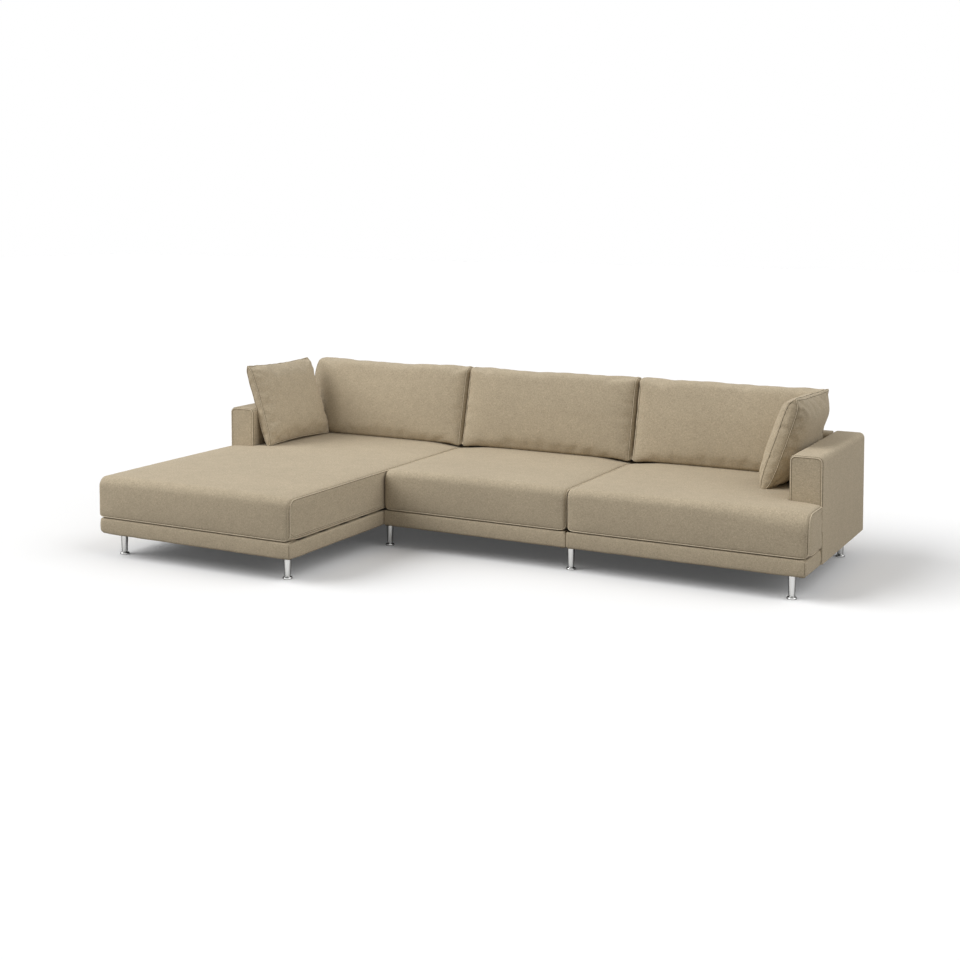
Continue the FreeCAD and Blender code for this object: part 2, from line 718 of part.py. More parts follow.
# Rows from one side of a back cushion to its middle: distance in as a share of the width,
# the outline's scale and the crown's share.
BACK_SHARES = [
    (0.0, 0.86, 0.15), (0.007, 0.935, 0.25), (0.022, 0.985, 0.4), (0.06, 1.0, 0.6), (0.22, 1.0, 0.9), (0.5, 1.0, 1.0),
]
BACK_CUT_SHARE = 0.24
OVER_TOP_SHARE = 0.3


def back_outline(scale):
    """Side outline in depth and height: the leaning front, the rounded top and the rear over the back's top."""
    tall, depth = size("back_cushion_height"), size("back_cushion_foot_depth")
    lean, overhang = size("back_cushion_lean"), size("back_cushion_overhang")
    ledge = size("arm_top_height") - place("seat_top_z")
    above = ledge + (tall - ledge) * OVER_TOP_SHARE
    corners = [Vector(0, 0, 0), Vector(depth, 0, 0), Vector(depth, ledge, 0),
               Vector(depth + overhang, above, 0), Vector(depth + overhang, tall, 0), Vector(lean, tall, 0)]
    middle = Vector((depth + overhang) / 2, tall / 2, 0)
    return [middle + (corner - middle) * scale for corner in corners]


def back_cushion(name, left, right):
    """Leaning back cushion that follows the back's front and swells over its top."""
    crown = size("back_cushion_crown")
    cut = size("back_cushion_foot_depth") * BACK_CUT_SHARE
    cuts = [cut, cut, cut / 2, cut, cut, cut]
    rows = BACK_SHARES + [(1 - along, scale, share) for along, scale, share in reversed(BACK_SHARES[:-1])]
    loops = []
    for along, scale, share in rows:
        bows = [0, 0, 0, 0, crown * share * TOP_CROWN_SHARE, crown * share]
        cuts_here = [length * scale for length in cuts]
        loops.append(rounded_loop(back_outline(scale), cuts_here, bows, left + (right - left) * along))
    cushion = doc.addObject("Part::Feature", f"{name}_back_cushion")
    cushion.Shape = quilted_solid(loops)
    depth_axis, up_axis, across_axis = Vector(0, 1, 0), Vector(0, 0, 1), Vector(1, 0, 0)
    rotation = FreeCAD.Rotation(depth_axis, up_axis, across_axis, "ZXY")
    foot_y = place("back_front_y") - size("back_cushion_clearance") - size("back_cushion_foot_depth")
    foot_z = place("seat_top_z") + size("rest_gap")
    cushion.Placement = FreeCAD.Placement(Vector(0, foot_y, foot_z), rotation)
    keep(cushion, f"{name}_back_cushion")


TOP_CROWN_SHARE = 0.35
arm_side = place("arm_inner_x") - size("back_cushion_clearance")
back_cushion("chaise", -arm_side, -junction - 2 * gap)
back_cushion("middle", -junction, junction)
back_cushion("right", junction + 2 * gap, arm_side)


# Rows from a pillow's gusset seam to the middle of its face: rise as a share of the swell beyond
# the gusset, and the outline's scale.
PILLOW_SHARES = [(0.0, 1.0), (0.30, 0.95), (0.60, 0.82), (0.84, 0.62), (0.96, 0.38), (1.0, 0.16)]


def pillow_solid(arm_swell, foot_press, top_press):
    """Boxed pillow lying on its back, +Z towards the room, its outline drawn in between the corners.

    The side at -X can be pressed in, by different lengths at its foot and its top.
    """
    half_gusset = size("pillow_gusset") / 2
    room_swell = size("pillow_room_swell")
    rows = [(-half_gusset - (arm_swell - half_gusset) * rise, scale) for rise, scale in reversed(PILLOW_SHARES)]
    rows += [(half_gusset + (room_swell - half_gusset) * rise, scale) for rise, scale in PILLOW_SHARES]
    across, up = size("pillow_width") / 2, size("pillow_height") / 2
    outline = [Vector(foot_press - across, -up, 0), Vector(across, -up, 0), Vector(across, up, 0),
               Vector(top_press - across, up, 0)]
    loops = []
    for level, scale in rows:
        corners = [corner * scale for corner in outline]
        cut, draw = size("pillow_corner") * scale, -size("pillow_draw") * scale
        loops.append(rounded_loop(corners, [cut] * 4, [draw] * 4, level))
    return quilted_solid(loops)


def pillow(name, side):
    """Pillow leaning on an arm, turned a little and standing on the seat."""
    lean = math.radians(size(f"{name}_pillow_lean"))
    towards_room = Vector(-side * math.cos(lean), 0, math.sin(lean))
    upwards = Vector(side * math.sin(lean), 0, math.cos(lean))
    along = upwards.cross(towards_room)
    turn = FreeCAD.Rotation(Vector(0, 0, 1), size(f"{name}_pillow_turn"))
    rotation = turn.multiply(FreeCAD.Rotation(along, upwards, towards_room, "ZYX"))
    half_height = size("pillow_height") / 2
    foot_x = side * (place("arm_inner_x") - size(f"{name}_pillow_foot_from_arm"))
    x = foot_x + upwards.x * half_height
    y = place("arm_front_y") + size(f"{name}_pillow_from_arm_front")
    feature = doc.addObject("Part::Feature", f"{name}_pillow")
    feature.Shape = pillow_solid(size(f"{name}_pillow_arm_swell"), size(f"{name}_pillow_foot_press"),
                                 size(f"{name}_pillow_top_press"))
    feature.Placement = FreeCAD.Placement(Vector(x, y, 0), rotation)
    lowest = feature.Shape.optimalBoundingBox(False).ZMin
    rise = place("seat_top_z") + size("rest_gap") - lowest
    feature.Placement = FreeCAD.Placement(Vector(x, y, rise), rotation)
    keep(feature, f"{name}_pillow")


pillow("left", -1)
pillow("right", 1)


# Checks and export

doc.recompute()
for feature in doc.Objects:
    if "Invalid" in feature.State or "Error" in feature.State:
        raise RuntimeError(f"{feature.Name} failed: {feature.State}")
for feature in SUBPARTS:
    if feature.Shape.isNull() or not feature.Shape.isValid() or not feature.Shape.Solids:
        raise RuntimeError(f"{feature.Label} has no valid solid")

os.makedirs("parts", exist_ok=True)
for feature in SUBPARTS:
    feature.Shape.exportStep(os.path.join("parts", f"{feature.Label}.step"))
print(len(SUBPARTS), "sub-parts written")
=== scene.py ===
import json
import math

import bpy
import numpy as np
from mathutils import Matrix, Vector
from mathutils.bvhtree import BVHTree


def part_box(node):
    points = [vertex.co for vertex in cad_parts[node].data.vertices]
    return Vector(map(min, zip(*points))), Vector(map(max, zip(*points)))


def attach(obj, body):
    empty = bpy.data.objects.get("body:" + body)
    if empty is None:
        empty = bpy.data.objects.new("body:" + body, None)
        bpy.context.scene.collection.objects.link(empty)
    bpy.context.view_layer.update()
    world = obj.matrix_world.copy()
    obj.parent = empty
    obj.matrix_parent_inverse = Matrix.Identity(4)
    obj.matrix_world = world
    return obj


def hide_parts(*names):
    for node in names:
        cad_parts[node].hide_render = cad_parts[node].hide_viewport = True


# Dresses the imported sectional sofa: soft cushions and pillows, fitted upholstery with its seams,
# chromed legs, a white floor and soft studio light. Metres throughout, in the row frame.

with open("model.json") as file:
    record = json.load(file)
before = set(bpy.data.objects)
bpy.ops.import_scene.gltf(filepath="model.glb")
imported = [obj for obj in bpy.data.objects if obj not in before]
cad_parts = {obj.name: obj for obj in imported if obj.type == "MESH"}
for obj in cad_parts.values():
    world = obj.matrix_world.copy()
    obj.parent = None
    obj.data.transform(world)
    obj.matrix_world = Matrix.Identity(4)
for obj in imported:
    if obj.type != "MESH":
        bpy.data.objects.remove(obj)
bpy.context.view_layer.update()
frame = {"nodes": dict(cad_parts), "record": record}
nodes = frame["nodes"]
scene = bpy.context.scene
MM = 0.001


# Places read from the frame

def low(node):
    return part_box(node)[0]


def high(node):
    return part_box(node)[1]


JUNCTION_X = high("middle_base_cover").x
HALF_WIDTH = high("right_base_cover").x
ARM_OUTER_X = high("right_arm_cover").x
ARM_INNER_X = low("right_arm_cover").x
ARM_FRONT_Y = low("right_arm_cover").y
ARM_TOP_Z = high("right_arm_cover").z
REAR_Y = high("middle_base_cover").y
FRONT_Y = low("middle_base_cover").y
CHAISE_FRONT_Y = low("chaise_base_cover").y
BACK_FRONT_Y = low("middle_back_cover").y
BASE_FOOT_Z = low("middle_base_cover").z
DECK_Z = high("middle_base_cover").z
SEAT_TOP_Z = high("middle_seat_cushion").z
SEAT_FOOT_Z = low("middle_seat_cushion").z
BACK_TOP_Z = high("middle_back_cushion").z


# Camera, at the photograph's angle

CAMERA_PLACE = (3.2764, -6.1201, 1.7468)
CAMERA_TURN = 28.242
CAMERA_DIP = 3.498
CAMERA_LENS = 53.287
CAMERA_SHIFT = -0.2

camera_data = bpy.data.cameras.new("camera")
camera_data.lens = CAMERA_LENS
camera_data.sensor_width = 36
camera_data.shift_y = CAMERA_SHIFT
camera_data.clip_end = 100
camera = bpy.data.objects.new("camera", camera_data)
camera.location = CAMERA_PLACE
camera.rotation_euler = (math.radians(90 - CAMERA_DIP), 0, math.radians(CAMERA_TURN))
scene.collection.objects.link(camera)
scene.camera = camera
scene.view_settings.view_transform = "Standard"


# Materials

THREAD_PITCH = 2.4 * MM
THREAD_STRETCH = 0.16
THREAD_SCALE = 420
FLECK_SCALE = 230
HEATHER_SCALE = 105
MOTTLE_SCALE = 26
BROAD_SCALE = 3.1
FACING_LIMIT = 0.7


class Nodes:
    """Short ways to make and join the shader nodes of a material or of the world."""

    def __init__(self, holder):
        holder.use_nodes = True
        self.holder, self.tree = holder, holder.node_tree
        self.tree.nodes.clear()

    def node(self, kind, settings=None, sockets=None, **named):
        """New shader node; other sockets or plain values feed its own, given by number or by name."""
        node = self.tree.nodes.new(f"ShaderNode{kind}")
        for name, setting in (settings or {}).items():
            setattr(node, name, setting)
        sources = dict(sockets or {})
        sources.update((name.replace("_", " "), source) for name, source in named.items())
        for key, source in sources.items():
            if isinstance(source, bpy.types.NodeSocket):
                self.tree.links.new(source, node.inputs[key])
            else:
                node.inputs[key].default_value = source
        return node

    def sum_of(self, operation, *values):
        return self.node("Math", {"operation": operation}, dict(enumerate(values))).outputs[0]

    def times(self, first, second):
        return self.sum_of("MULTIPLY", first, second)

    def chosen(self, factor, first, second):
        sockets = {0: factor, 2: first, 3: second}
        return self.node("Mix", {"data_type": "FLOAT"}, sockets).outputs[0]

    def mixed(self, factor, first, second, blend="MIX"):
        sockets = {0: factor, 6: first, 7: second}
        return self.node("Mix", {"data_type": "RGBA", "blend_type": blend}, sockets).outputs[2]

    def mixed_shaders(self, factor, first, second):
        return self.node("MixShader", None, {0: factor, 1: first.outputs[0], 2: second.outputs[0]})

    def noise(self, vector, scale, detail=2.0, roughness=0.5):
        node = self.node("TexNoise", Vector=vector, Scale=scale, Detail=detail, Roughness=roughness)
        return node.outputs["Fac"]

    def ranged(self, *values):
        """A source, its low and high, and the low and high that it is spread over and kept within."""
        return self.node("MapRange", {"clamp": True}, dict(enumerate(values))).outputs[0]

    def combined(self, x, y, z=0.0):
        return self.node("CombineXYZ", X=x, Y=y, Z=z).outputs[0]

    def split(self, vector):
        return self.node("SeparateXYZ", Vector=vector).outputs[:]

    def seen_by(self, *kinds):
        """1 for rays of these kinds, else 0."""
        rays = self.node("LightPath").outputs
        seen, *others = (rays[f"Is {kind} Ray"] for kind in kinds)
        for other in others:
            seen = self.sum_of("MAXIMUM", seen, other)
        return seen

    def surface(self, color, roughness, height, strength, depth, **more):
        """Principled surface with a fine bump; gives back the finished material."""
        bumped = self.node("Bump", Strength=strength, Distance=depth, Height=height)
        return self.finish(self.node("BsdfPrincipled", Base_Color=color, Roughness=roughness,
                                     Normal=bumped.outputs[0], **more))

    def finish(self, shader, output="OutputMaterial"):
        self.node(output, Surface=shader.outputs[0])
        return self.holder


def opaque(color, share=1.0):
    """Colour darkened to a share of itself, with full alpha."""
    return (*(c * share for c in color), 1)


def flat_coordinates(make):
    """Coordinates that lie in each face's own plane, in metres: threads run level and upright everywhere."""
    places = make.node("TexCoord").outputs
    x, y, z = make.split(places["Object"])
    facing = make.split(places["Normal"])
    side_on, upwards = (make.sum_of("GREATER_THAN", make.sum_of("ABSOLUTE", facing[axis]), FACING_LIMIT)
                        for axis in (0, 2))
    return make.chosen(side_on, x, y), make.chosen(upwards, z, y), places["Object"]


def weave_height(make, across, up):
    """Plain weave: level threads show on every other crossing, upright ones on the rest."""
    turn = math.pi / THREAD_PITCH
    level, upright = (make.sum_of("ABSOLUTE", make.sum_of("SINE", make.times(place, turn)))
                      for place in (up, across))
    crossing = make.times(*(make.sum_of("SINE", make.times(place, turn / 2)) for place in (across, up)))
    return make.chosen(make.sum_of("GREATER_THAN", crossing, 0.0), level, upright)


def fabric_material(name, color, dark, light, bump=0.25):
    """Heathered woven fabric: flecked threads both ways, soft mottling, a fine weave and a little sheen."""
    make = Nodes(bpy.data.materials.new(name))
    across, up, place = flat_coordinates(make)
    flat = make.combined(across, up)
    level_threads = make.combined(make.times(across, THREAD_STRETCH), up)
    upright_threads = make.combined(across, make.times(up, THREAD_STRETCH))
    threads = make.times(make.sum_of("ADD", make.noise(level_threads, THREAD_SCALE, 3.0, 0.6),
                                     make.noise(upright_threads, THREAD_SCALE, 3.0, 0.6)), 0.5)
    flecks, heather = make.noise(flat, FLECK_SCALE, 4.0, 0.7), make.noise(flat, HEATHER_SCALE, 3.0, 0.75)
    mottle, broad = make.noise(place, MOTTLE_SCALE, 3.0, 0.55), make.noise(place, BROAD_SCALE)
    tone = make.mixed(make.ranged(threads, 0.36, 0.64, 0.0, 1.0), opaque(dark), opaque(light))
    tone = make.mixed(0.45, tone, opaque(color))
    level = make.ranged(flecks, 0.35, 0.65, 0.84, 1.16)
    for spots in ((heather, 0.33, 0.67, 0.88, 1.12), (mottle, 0.3, 0.7, 0.955, 1.045),
                  (broad, 0.3, 0.7, 0.97, 1.03)):
        level = make.times(level, make.ranged(*spots))
    tone = make.mixed(1.0, tone, make.combined(level, level, level), "MULTIPLY")
    weave = weave_height(make, across, up)
    height = make.sum_of("ADD", make.times(weave, 0.5), make.times(threads, 0.9))
    return make.surface(tone, make.ranged(flecks, 0.3, 0.7, 0.86, 0.98), height, bump, 0.5 * MM,
                        Sheen_Weight=0.12, Sheen_Roughness=0.45, Sheen_Tint=(0.95, 0.88, 0.76, 1),
                        Specular_IOR_Level=0.25)


def metal_material(name, color, roughness, streaks, rim=1.0):
    """Plated metal with faint drawing marks and smudges; its rims darken to a share of the colour, a painted
    reflection of dark surroundings.
    """
    make = Nodes(bpy.data.materials.new(name))
    place = make.node("TexCoord").outputs["Object"]
    x, y, z = make.split(place)
    marks = make.noise(make.combined(x, y, make.times(z, 0.05)), 900)
    smudge = make.noise(place, 22, 3.0)
    rough = make.sum_of("ADD", make.ranged(marks, 0.3, 0.7, roughness, roughness + streaks),
                        make.ranged(smudge, 0.45, 0.75, 0.0, streaks))
    tint = make.mixed(make.ranged(smudge, 0.4, 0.7, 0.0, 0.25), opaque(color), opaque(color, 0.9))
    # Painted reflection: the colour darkens towards grazing rims, in place of the dark bands chrome would
    # reflect.
    facing = make.node("LayerWeight", Blend=0.5).outputs["Facing"]
    tint = make.mixed(make.ranged(facing, 0.2, 0.62, 0.0, 1.0), tint, opaque(color, rim))
    return make.surface(tint, rough, marks, 0.04, 0.2 * MM, Metallic=1.0)


def grained_material(name, light, dark):
    """Planed softwood: long grain with growth rings."""
    make = Nodes(bpy.data.materials.new(name))
    across, up, _ = flat_coordinates(make)
    grain = make.noise(make.combined(make.times(across, 0.08), up), 160, 4.0, 0.6)
    rings = make.noise(make.combined(make.times(across, 0.15), up), 30)
    both = make.sum_of("ADD", make.times(grain, 0.5), make.times(rings, 0.5))
    tone = make.mixed(make.ranged(both, 0.35, 0.65, 0.0, 1.0), opaque(light), opaque(dark))
    return make.surface(tone, 0.62, grain, 0.2, 0.3 * MM)


def porous_material(name, color):
    """Cut upholstery foam with open cells."""
    make = Nodes(bpy.data.materials.new(name))
    place = make.node("TexCoord").outputs["Object"]
    cells = make.node("TexVoronoi", Vector=place, Scale=520.0).outputs["Distance"]
    blotches = make.ranged(make.noise(place, 9), 0.35, 0.65, 0.0, 1.0)
    return make.surface(make.mixed(blotches, opaque(color), opaque(color, 0.9)), 0.95, cells, 0.5, 0.6 * MM)


sofa_fabric = fabric_material(
    "sofa_fabric", (0.437, 0.364, 0.257), (0.35, 0.288, 0.198), (0.53, 0.448, 0.324))
# Lighter copy of the sofa fabric for piping and seams: painted highlight on the cords.
piping_highlight_fabric = fabric_material(
    "piping_highlight_fabric", (0.6, 0.51, 0.37), (0.5, 0.42, 0.3), (0.69, 0.595, 0.44), 0.15)
# Near-black fabric for thin lines beside the piping: painted shade of the creases along the seams.
crease_shade_paint = fabric_material(
    "crease_shade_paint", (0.16, 0.128, 0.084), (0.12, 0.095, 0.06), (0.2, 0.16, 0.11), 0.15)
strap_fabric = fabric_material(
    "strap_fabric", (0.12, 0.1, 0.08), (0.08, 0.065, 0.05), (0.18, 0.15, 0.12), 0.5)
dust_cloth = fabric_material(
    "dust_cloth_fabric", (0.03, 0.03, 0.03), (0.02, 0.02, 0.02), (0.05, 0.05, 0.05), 0.3)
foam = porous_material("upholstery_foam", (0.82, 0.77, 0.6))
timber = grained_material("timber_rail", (0.62, 0.45, 0.27), (0.42, 0.27, 0.14))
# Chrome's rims darken to 12 % of its colour: painted reflection.
chrome = metal_material("chromed_steel_tube", (0.66, 0.66, 0.65), 0.05, 0.05, rim=0.12)
plated = metal_material("plated_steel_sheet", (0.55, 0.55, 0.56), 0.28, 0.12)

# The record's slots decide which material each CAD node shows.
SLOT_MATERIALS = {"sofa_fabric": sofa_fabric, "foam": foam, "timber": timber, "webbing": strap_fabric,
                  "dust_cloth": dust_cloth, "chromed_steel": chrome, "plated_steel": plated}
for part in frame["record"]["subparts"]:
    part_mesh = nodes[part["node"]].data
    part_mesh.materials.clear()
    part_mesh.materials.append(SLOT_MATERIALS[part["material_slot"]])


# Mesh helpers

CAP_RINGS = 6
SEAM_STEP = 8 * MM
PIPING = 3.1 * MM
SEAM = 1.5 * MM
# Thin dark lines beside piping, painted crease shade: their radius, sides, gap to the cord and sink.
CREASE_SHADE_RADIUS = 1.2 * MM
CREASE_SHADE_SIDES = 6
CREASE_SHADE_GAP = 0.8 * MM
CREASE_SHADE_SINK = 0.1 * MM
CREASE_WIDTH = 9 * MM
GATHER_BLOCK = 2000

# How a seam draws the cloth in: depth of its crease and of its puckers, their reach and their wavelength.
SEAT_GATHER = (1.6 * MM, 2.2 * MM, 26 * MM, 42 * MM)
BACK_GATHER = (1.8 * MM, 4.2 * MM, 34 * MM, 44 * MM)
PILLOW_GATHER = (1.4 * MM, 4.2 * MM, 36 * MM, 52 * MM)


def unit(vectors):
    vectors = np.asarray(vectors, float)
    return vectors / np.maximum(np.linalg.norm(vectors, axis=-1, keepdims=True), 1e-12)


def smooth_step(values, start, end):
    t = np.clip((np.asarray(values, float) - start) / (end - start), 0, 1)
    return t * t * (3 - 2 * t)


def fading(values, start, end):
    return 1 - smooth_step(values, start, end)


def bell(distance, width):
    return np.exp(-(distance / width) ** 2)


def rounded(radius, gap):
    """How far a rounded corner lies back at a distance from its side."""
    return radius - np.sqrt(np.maximum(radius ** 2 - np.maximum(radius - gap, 0) ** 2, 0))


def new_piece(name, verts, faces, material, body):
    mesh = bpy.data.meshes.new(name)
    mesh.from_pydata([tuple(v) for v in verts], [], faces)
    mesh.validate()
    mesh.materials.append(material)
    mesh.shade_smooth()
    piece = bpy.data.objects.new(name, mesh)
    scene.collection.objects.link(piece)
    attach(piece, body)
    return piece


def vectors_of(items, name):
    vectors = np.empty(len(items) * 3)
    items.foreach_get(name, vectors)
    return vectors.reshape(-1, 3)


def points_of(mesh):
    return vectors_of(mesh.vertices, "co")


def normals_of(mesh):
    return vectors_of(mesh.vertex_normals, "vector")


def set_points(mesh, points):
    mesh.vertices.foreach_set("co", np.asarray(points, float).ravel())
    mesh.update()


def worked_mesh(piece):
    """New mesh with the piece's modifiers worked in; they are taken off the piece."""
    graph = bpy.context.evaluated_depsgraph_get()
    mesh = bpy.data.meshes.new_from_object(piece.evaluated_get(graph), depsgraph=graph)
    piece.modifiers.clear()
    return mesh


def subdivided(piece):
    """One smooth subdivision, kept as the piece's mesh."""
    modifier = piece.modifiers.new("smooth", "SUBSURF")
    modifier.levels = modifier.render_levels = 1
    mesh, old = worked_mesh(piece), piece.data
    piece.data = mesh
    bpy.data.meshes.remove(old)
    mesh.name = piece.name
    mesh.shade_smooth()


def steps_between(start, end, spacing):
    """Even steps from start to end, about as long as the spacing, both ends among them."""
    return np.linspace(start, end, max(2, int(round(abs(end - start) / spacing)) + 1))


def graded(start, end, edge, spacing, fine=5):
    """Places across, closer together within the rounded edges."""
    turn = [edge * (1 - math.cos(math.pi / 2 * k / fine)) for k in range(fine + 1)]
    inner = list(steps_between(start + edge, end - edge, spacing))[1:-1]
    return [start + t for t in turn] + inner + [end - t for t in reversed(turn)]


def corner_turn(y, z, radius, start, steps):
    """Quarter turn of an outline inside its corner at y and z, from an angle on, the last point left out."""
    centre_y = y + (radius if start in (90, 180) else -radius)
    centre_z = z + (radius if start in (180, 270) else -radius)
    angles = np.radians(np.linspace(start, start + 90, steps + 1))[:-1]
    return [(centre_y + radius * math.cos(a), centre_z + radius * math.sin(a)) for a in angles]


def outward_normals(loop):
    """Unit normals of a closed counter-clockwise outline."""
    along = np.roll(loop, -1, axis=0) - np.roll(loop, 1, axis=0)
    return unit(np.stack([along[:, 1], -along[:, 0]], axis=1))


def edge_inset(x, left, right, edge):
    """How far the outline at x is drawn in, so that a cushion's ends are rounded."""
    reach = max(0.0, 1 - min(x - left, right - x) / edge)
    return edge * (1 - math.sqrt(max(0.0, 1 - reach * reach)))


def ring_at(x, outline):
    return np.column_stack([np.full(len(outline), x), outline])


def ring_of(values, column, count):
    """The part of some values that belongs to one ring of points."""
    return values[column * count:(column + 1) * count]


def middle_of(ring):
    """Centroid of a flat outline that stands across the length of the sofa."""
    y, z = ring[:, 1], ring[:, 2]
    after_y, after_z = np.roll(y, -1), np.roll(z, -1)
    cross = y * after_z - after_y * z
    area = cross.sum() / 2
    return np.array([ring[:, 0].mean(), ((y + after_y) * cross).sum() / (6 * area),
                     ((z + after_z) * cross).sum() / (6 * area)])


def band(here, after, count):
    """Quads between two rows of points that each close on themselves, given by their first points."""
    turns = [(k, (k + 1) % count) for k in range(count)]
    return [(here + k, here + m, after + m, after + k) for k, m in turns]


def bands(base, rows, count, wrapped=False):
    """Quads between many such rows; wrapped joins the last to the first as well."""
    return [face for row in range(rows if wrapped else rows - 1)
            for face in band(base + row * count, base + (row + 1) % rows * count, count)]


def end_faces(base, rows, count):
    """Faces over the first and the last of such rows."""
    last = base + (rows - 1) * count
    return [tuple(range(base + count - 1, base - 1, -1)), tuple(range(last, last + count))]


def turned_over(faces):
    """The same faces, seen from their other side; each still starts at its own first point."""
    return [(face[0], *face[:0:-1]) for face in faces]


def skinned(rings, bulges):
    """Closed mesh over rows of points; each end is filled with shrinking rings that bulge outwards."""
    count = len(rings[0])
    verts = [tuple(p) for ring in rings for p in ring]
    faces = bands(0, len(rings), count)
    for end, last, bulge in ((-1, 0, bulges[0]), (1, len(rings) - 1, bulges[1])):
        base = np.array(rings[last], float)
        centre = middle_of(base)
        outwards = np.array([end, 0.0, 0.0])
        ring, cap = last * count, []
        for step in range(1, CAP_RINGS + 1):
            scale, inner = 1 - step / (CAP_RINGS + 1), len(verts)
            shrunk = centre + (base - centre) * scale + outwards * bulge * (1 - scale ** 3)
            verts += [tuple(p) for p in shrunk]
            cap += band(ring, inner, count)
            ring = inner
        hub = len(verts)
        verts.append(tuple(centre + outwards * bulge))
        cap += [(hub, ring + k, ring + (k + 1) % count) for k in range(count)]
        faces += cap if end > 0 else turned_over(cap)
    return np.array(verts), faces


def directions(path, closed):
    """Unit steps along a path."""
    if closed:
        return unit(np.roll(path, -1, axis=0) - np.roll(path, 1, axis=0))
    return unit(np.gradient(path, axis=0))


def tube(name, paths, radius, closed, body, material=piping_highlight_fabric, sides=8):
    """Thin round cords sewn along one or more paths; by default in the lighter fabric that paints the
    highlight the cords catch.
    """
    verts, faces = [], []
    for path in paths:
        base, along = len(verts), directions(path, closed)
        side = np.cross(along[0], (0.0, 0.0, 1.0) if abs(along[0][2]) < 0.9 else (1.0, 0.0, 0.0))
        for point, step in zip(path, along):
            side = unit(side - step * (side @ step))
            other = np.cross(step, side)
            for k in range(sides):
                angle = 2 * math.pi * k / sides
                verts.append(point + radius * (side * math.cos(angle) + other * math.sin(angle)))
        faces += bands(base, len(path), sides, wrapped=closed)
        if not closed:
            faces += end_faces(base, len(path), sides)
    return new_piece(name, verts, faces, material, body)


def resampled(path, closed=False):
    """Path with even steps of about a seam's step."""
    path = np.asarray(path, float)
    if closed:
        path = np.vstack([path, path[:1]])
    lengths = np.linalg.norm(np.diff(path, axis=0), axis=1)
    distance = np.concatenate([[0], np.cumsum(lengths)])
    count = max(4, int(round(distance[-1] / SEAM_STEP)))
    at = np.linspace(0, distance[-1], count + 1)
    out = np.stack([np.interp(at, distance, path[:, k]) for k in range(3)], axis=1)
    return out[:-1] if closed else out


def relaxed(path, rounds, closed=False):
    """Path with its kinks eased out; an open one keeps its ends."""
    path = np.array(path, float)
    for _ in range(rounds):
        moved = path * 0.5 + (np.roll(path, 1, axis=0) + np.roll(path, -1, axis=0)) * 0.25
        if not closed:
            moved[0], moved[-1] = path[0], path[-1]
        path = moved
    return path


def laid_on(tree, path, lift):
    """Path moved to the nearest places on a surface and lifted off it, with the surface's normals there."""
    found = [tree.find_nearest(Vector(point))[:2] for point in path]
    return (np.array([np.array(nearest + normal * lift) for nearest, normal in found]),
            np.array([np.array(normal) for _, normal in found]))


def sewn(name, piece, path, body, radius=PIPING, lift=1.3 * MM, closed=False, rounds=3, with_painted_shade=True):
    """Piping that follows a piece's surface, in the lighter fabric that paints its highlight, and unless
    turned off, a thin dark line on each side of it as painted crease shade.
    """
    mesh = piece.data
    tree = BVHTree.FromPolygons([vertex.co.copy() for vertex in mesh.vertices],
                                [tuple(polygon.vertices) for polygon in mesh.polygons])
    laid, normals = laid_on(tree, resampled(path, closed), lift)
    line = relaxed(laid, rounds, closed)
    tube(name, [line], radius, closed, body)
    if not with_painted_shade:
        return
    across = unit(np.cross(relaxed(normals, 4, closed), directions(line, closed)))
    # Painted crease shade: a thin dark line on each side of the cord.
    shade_lines = []
    for side in (-1, 1):
        beside = laid_on(tree, line + across * side * (radius + CREASE_SHADE_GAP), -CREASE_SHADE_SINK)[0]
        shade_lines.append(relaxed(beside, rounds, closed))
    tube(f"{name}_stitches", shade_lines, CREASE_SHADE_RADIUS, closed, body, crease_shade_paint, CREASE_SHADE_SIDES)


def waves(distance, wavelength, seed):
    """Uneven row of small folds, between 0 and 1, for distances along a seam."""
    turn = 2 * math.pi * np.asarray(distance) / wavelength
    first = np.sin(turn + seed)
    second = np.sin(turn * 0.47 + 1.7 * seed + 1.1)
    third = np.sin(turn * 1.71 + 0.6 * seed + 2.3)
    return np.clip((first + 0.8 * second + 0.5 * third) / 4.6 + 0.5, 0, 1)


def gathered(points, normals, paths, crease, puckers, reach, wavelength, seed, closed=False):
    """Draw a surface in along seams: a narrow crease, and small folds across it that fade with distance."""
    points = points.copy()
    for number, path in enumerate(paths):
        path = resampled(path, closed)
        distance = np.arange(len(path)) * SEAM_STEP
        low_corner, high_corner = path.min(axis=0) - 3 * reach, path.max(axis=0) + 3 * reach
        near = np.where(np.all((points > low_corner) & (points < high_corner), axis=1))[0]
        for block in np.array_split(near, max(1, len(near) // GATHER_BLOCK)):
            gaps = np.linalg.norm(points[block][:, None] - path[None], axis=2)
            nearest = gaps.argmin(axis=1)
            gap = gaps[np.arange(len(block)), nearest]
            folds = waves(distance[nearest], wavelength, seed + number)
            depth = crease * bell(gap, CREASE_WIDTH)
            depth += puckers * folds * np.exp(-gap / reach) * smooth_step(gap, 0, SEAM_STEP)
            points[block] -= normals[block] * depth[:, None]
    return points


# Cloth

CLOTH_FRAMES = 20
CLOTH_QUALITY = 4
CLOTH_MASS = 0.3
TINY = 1e-9


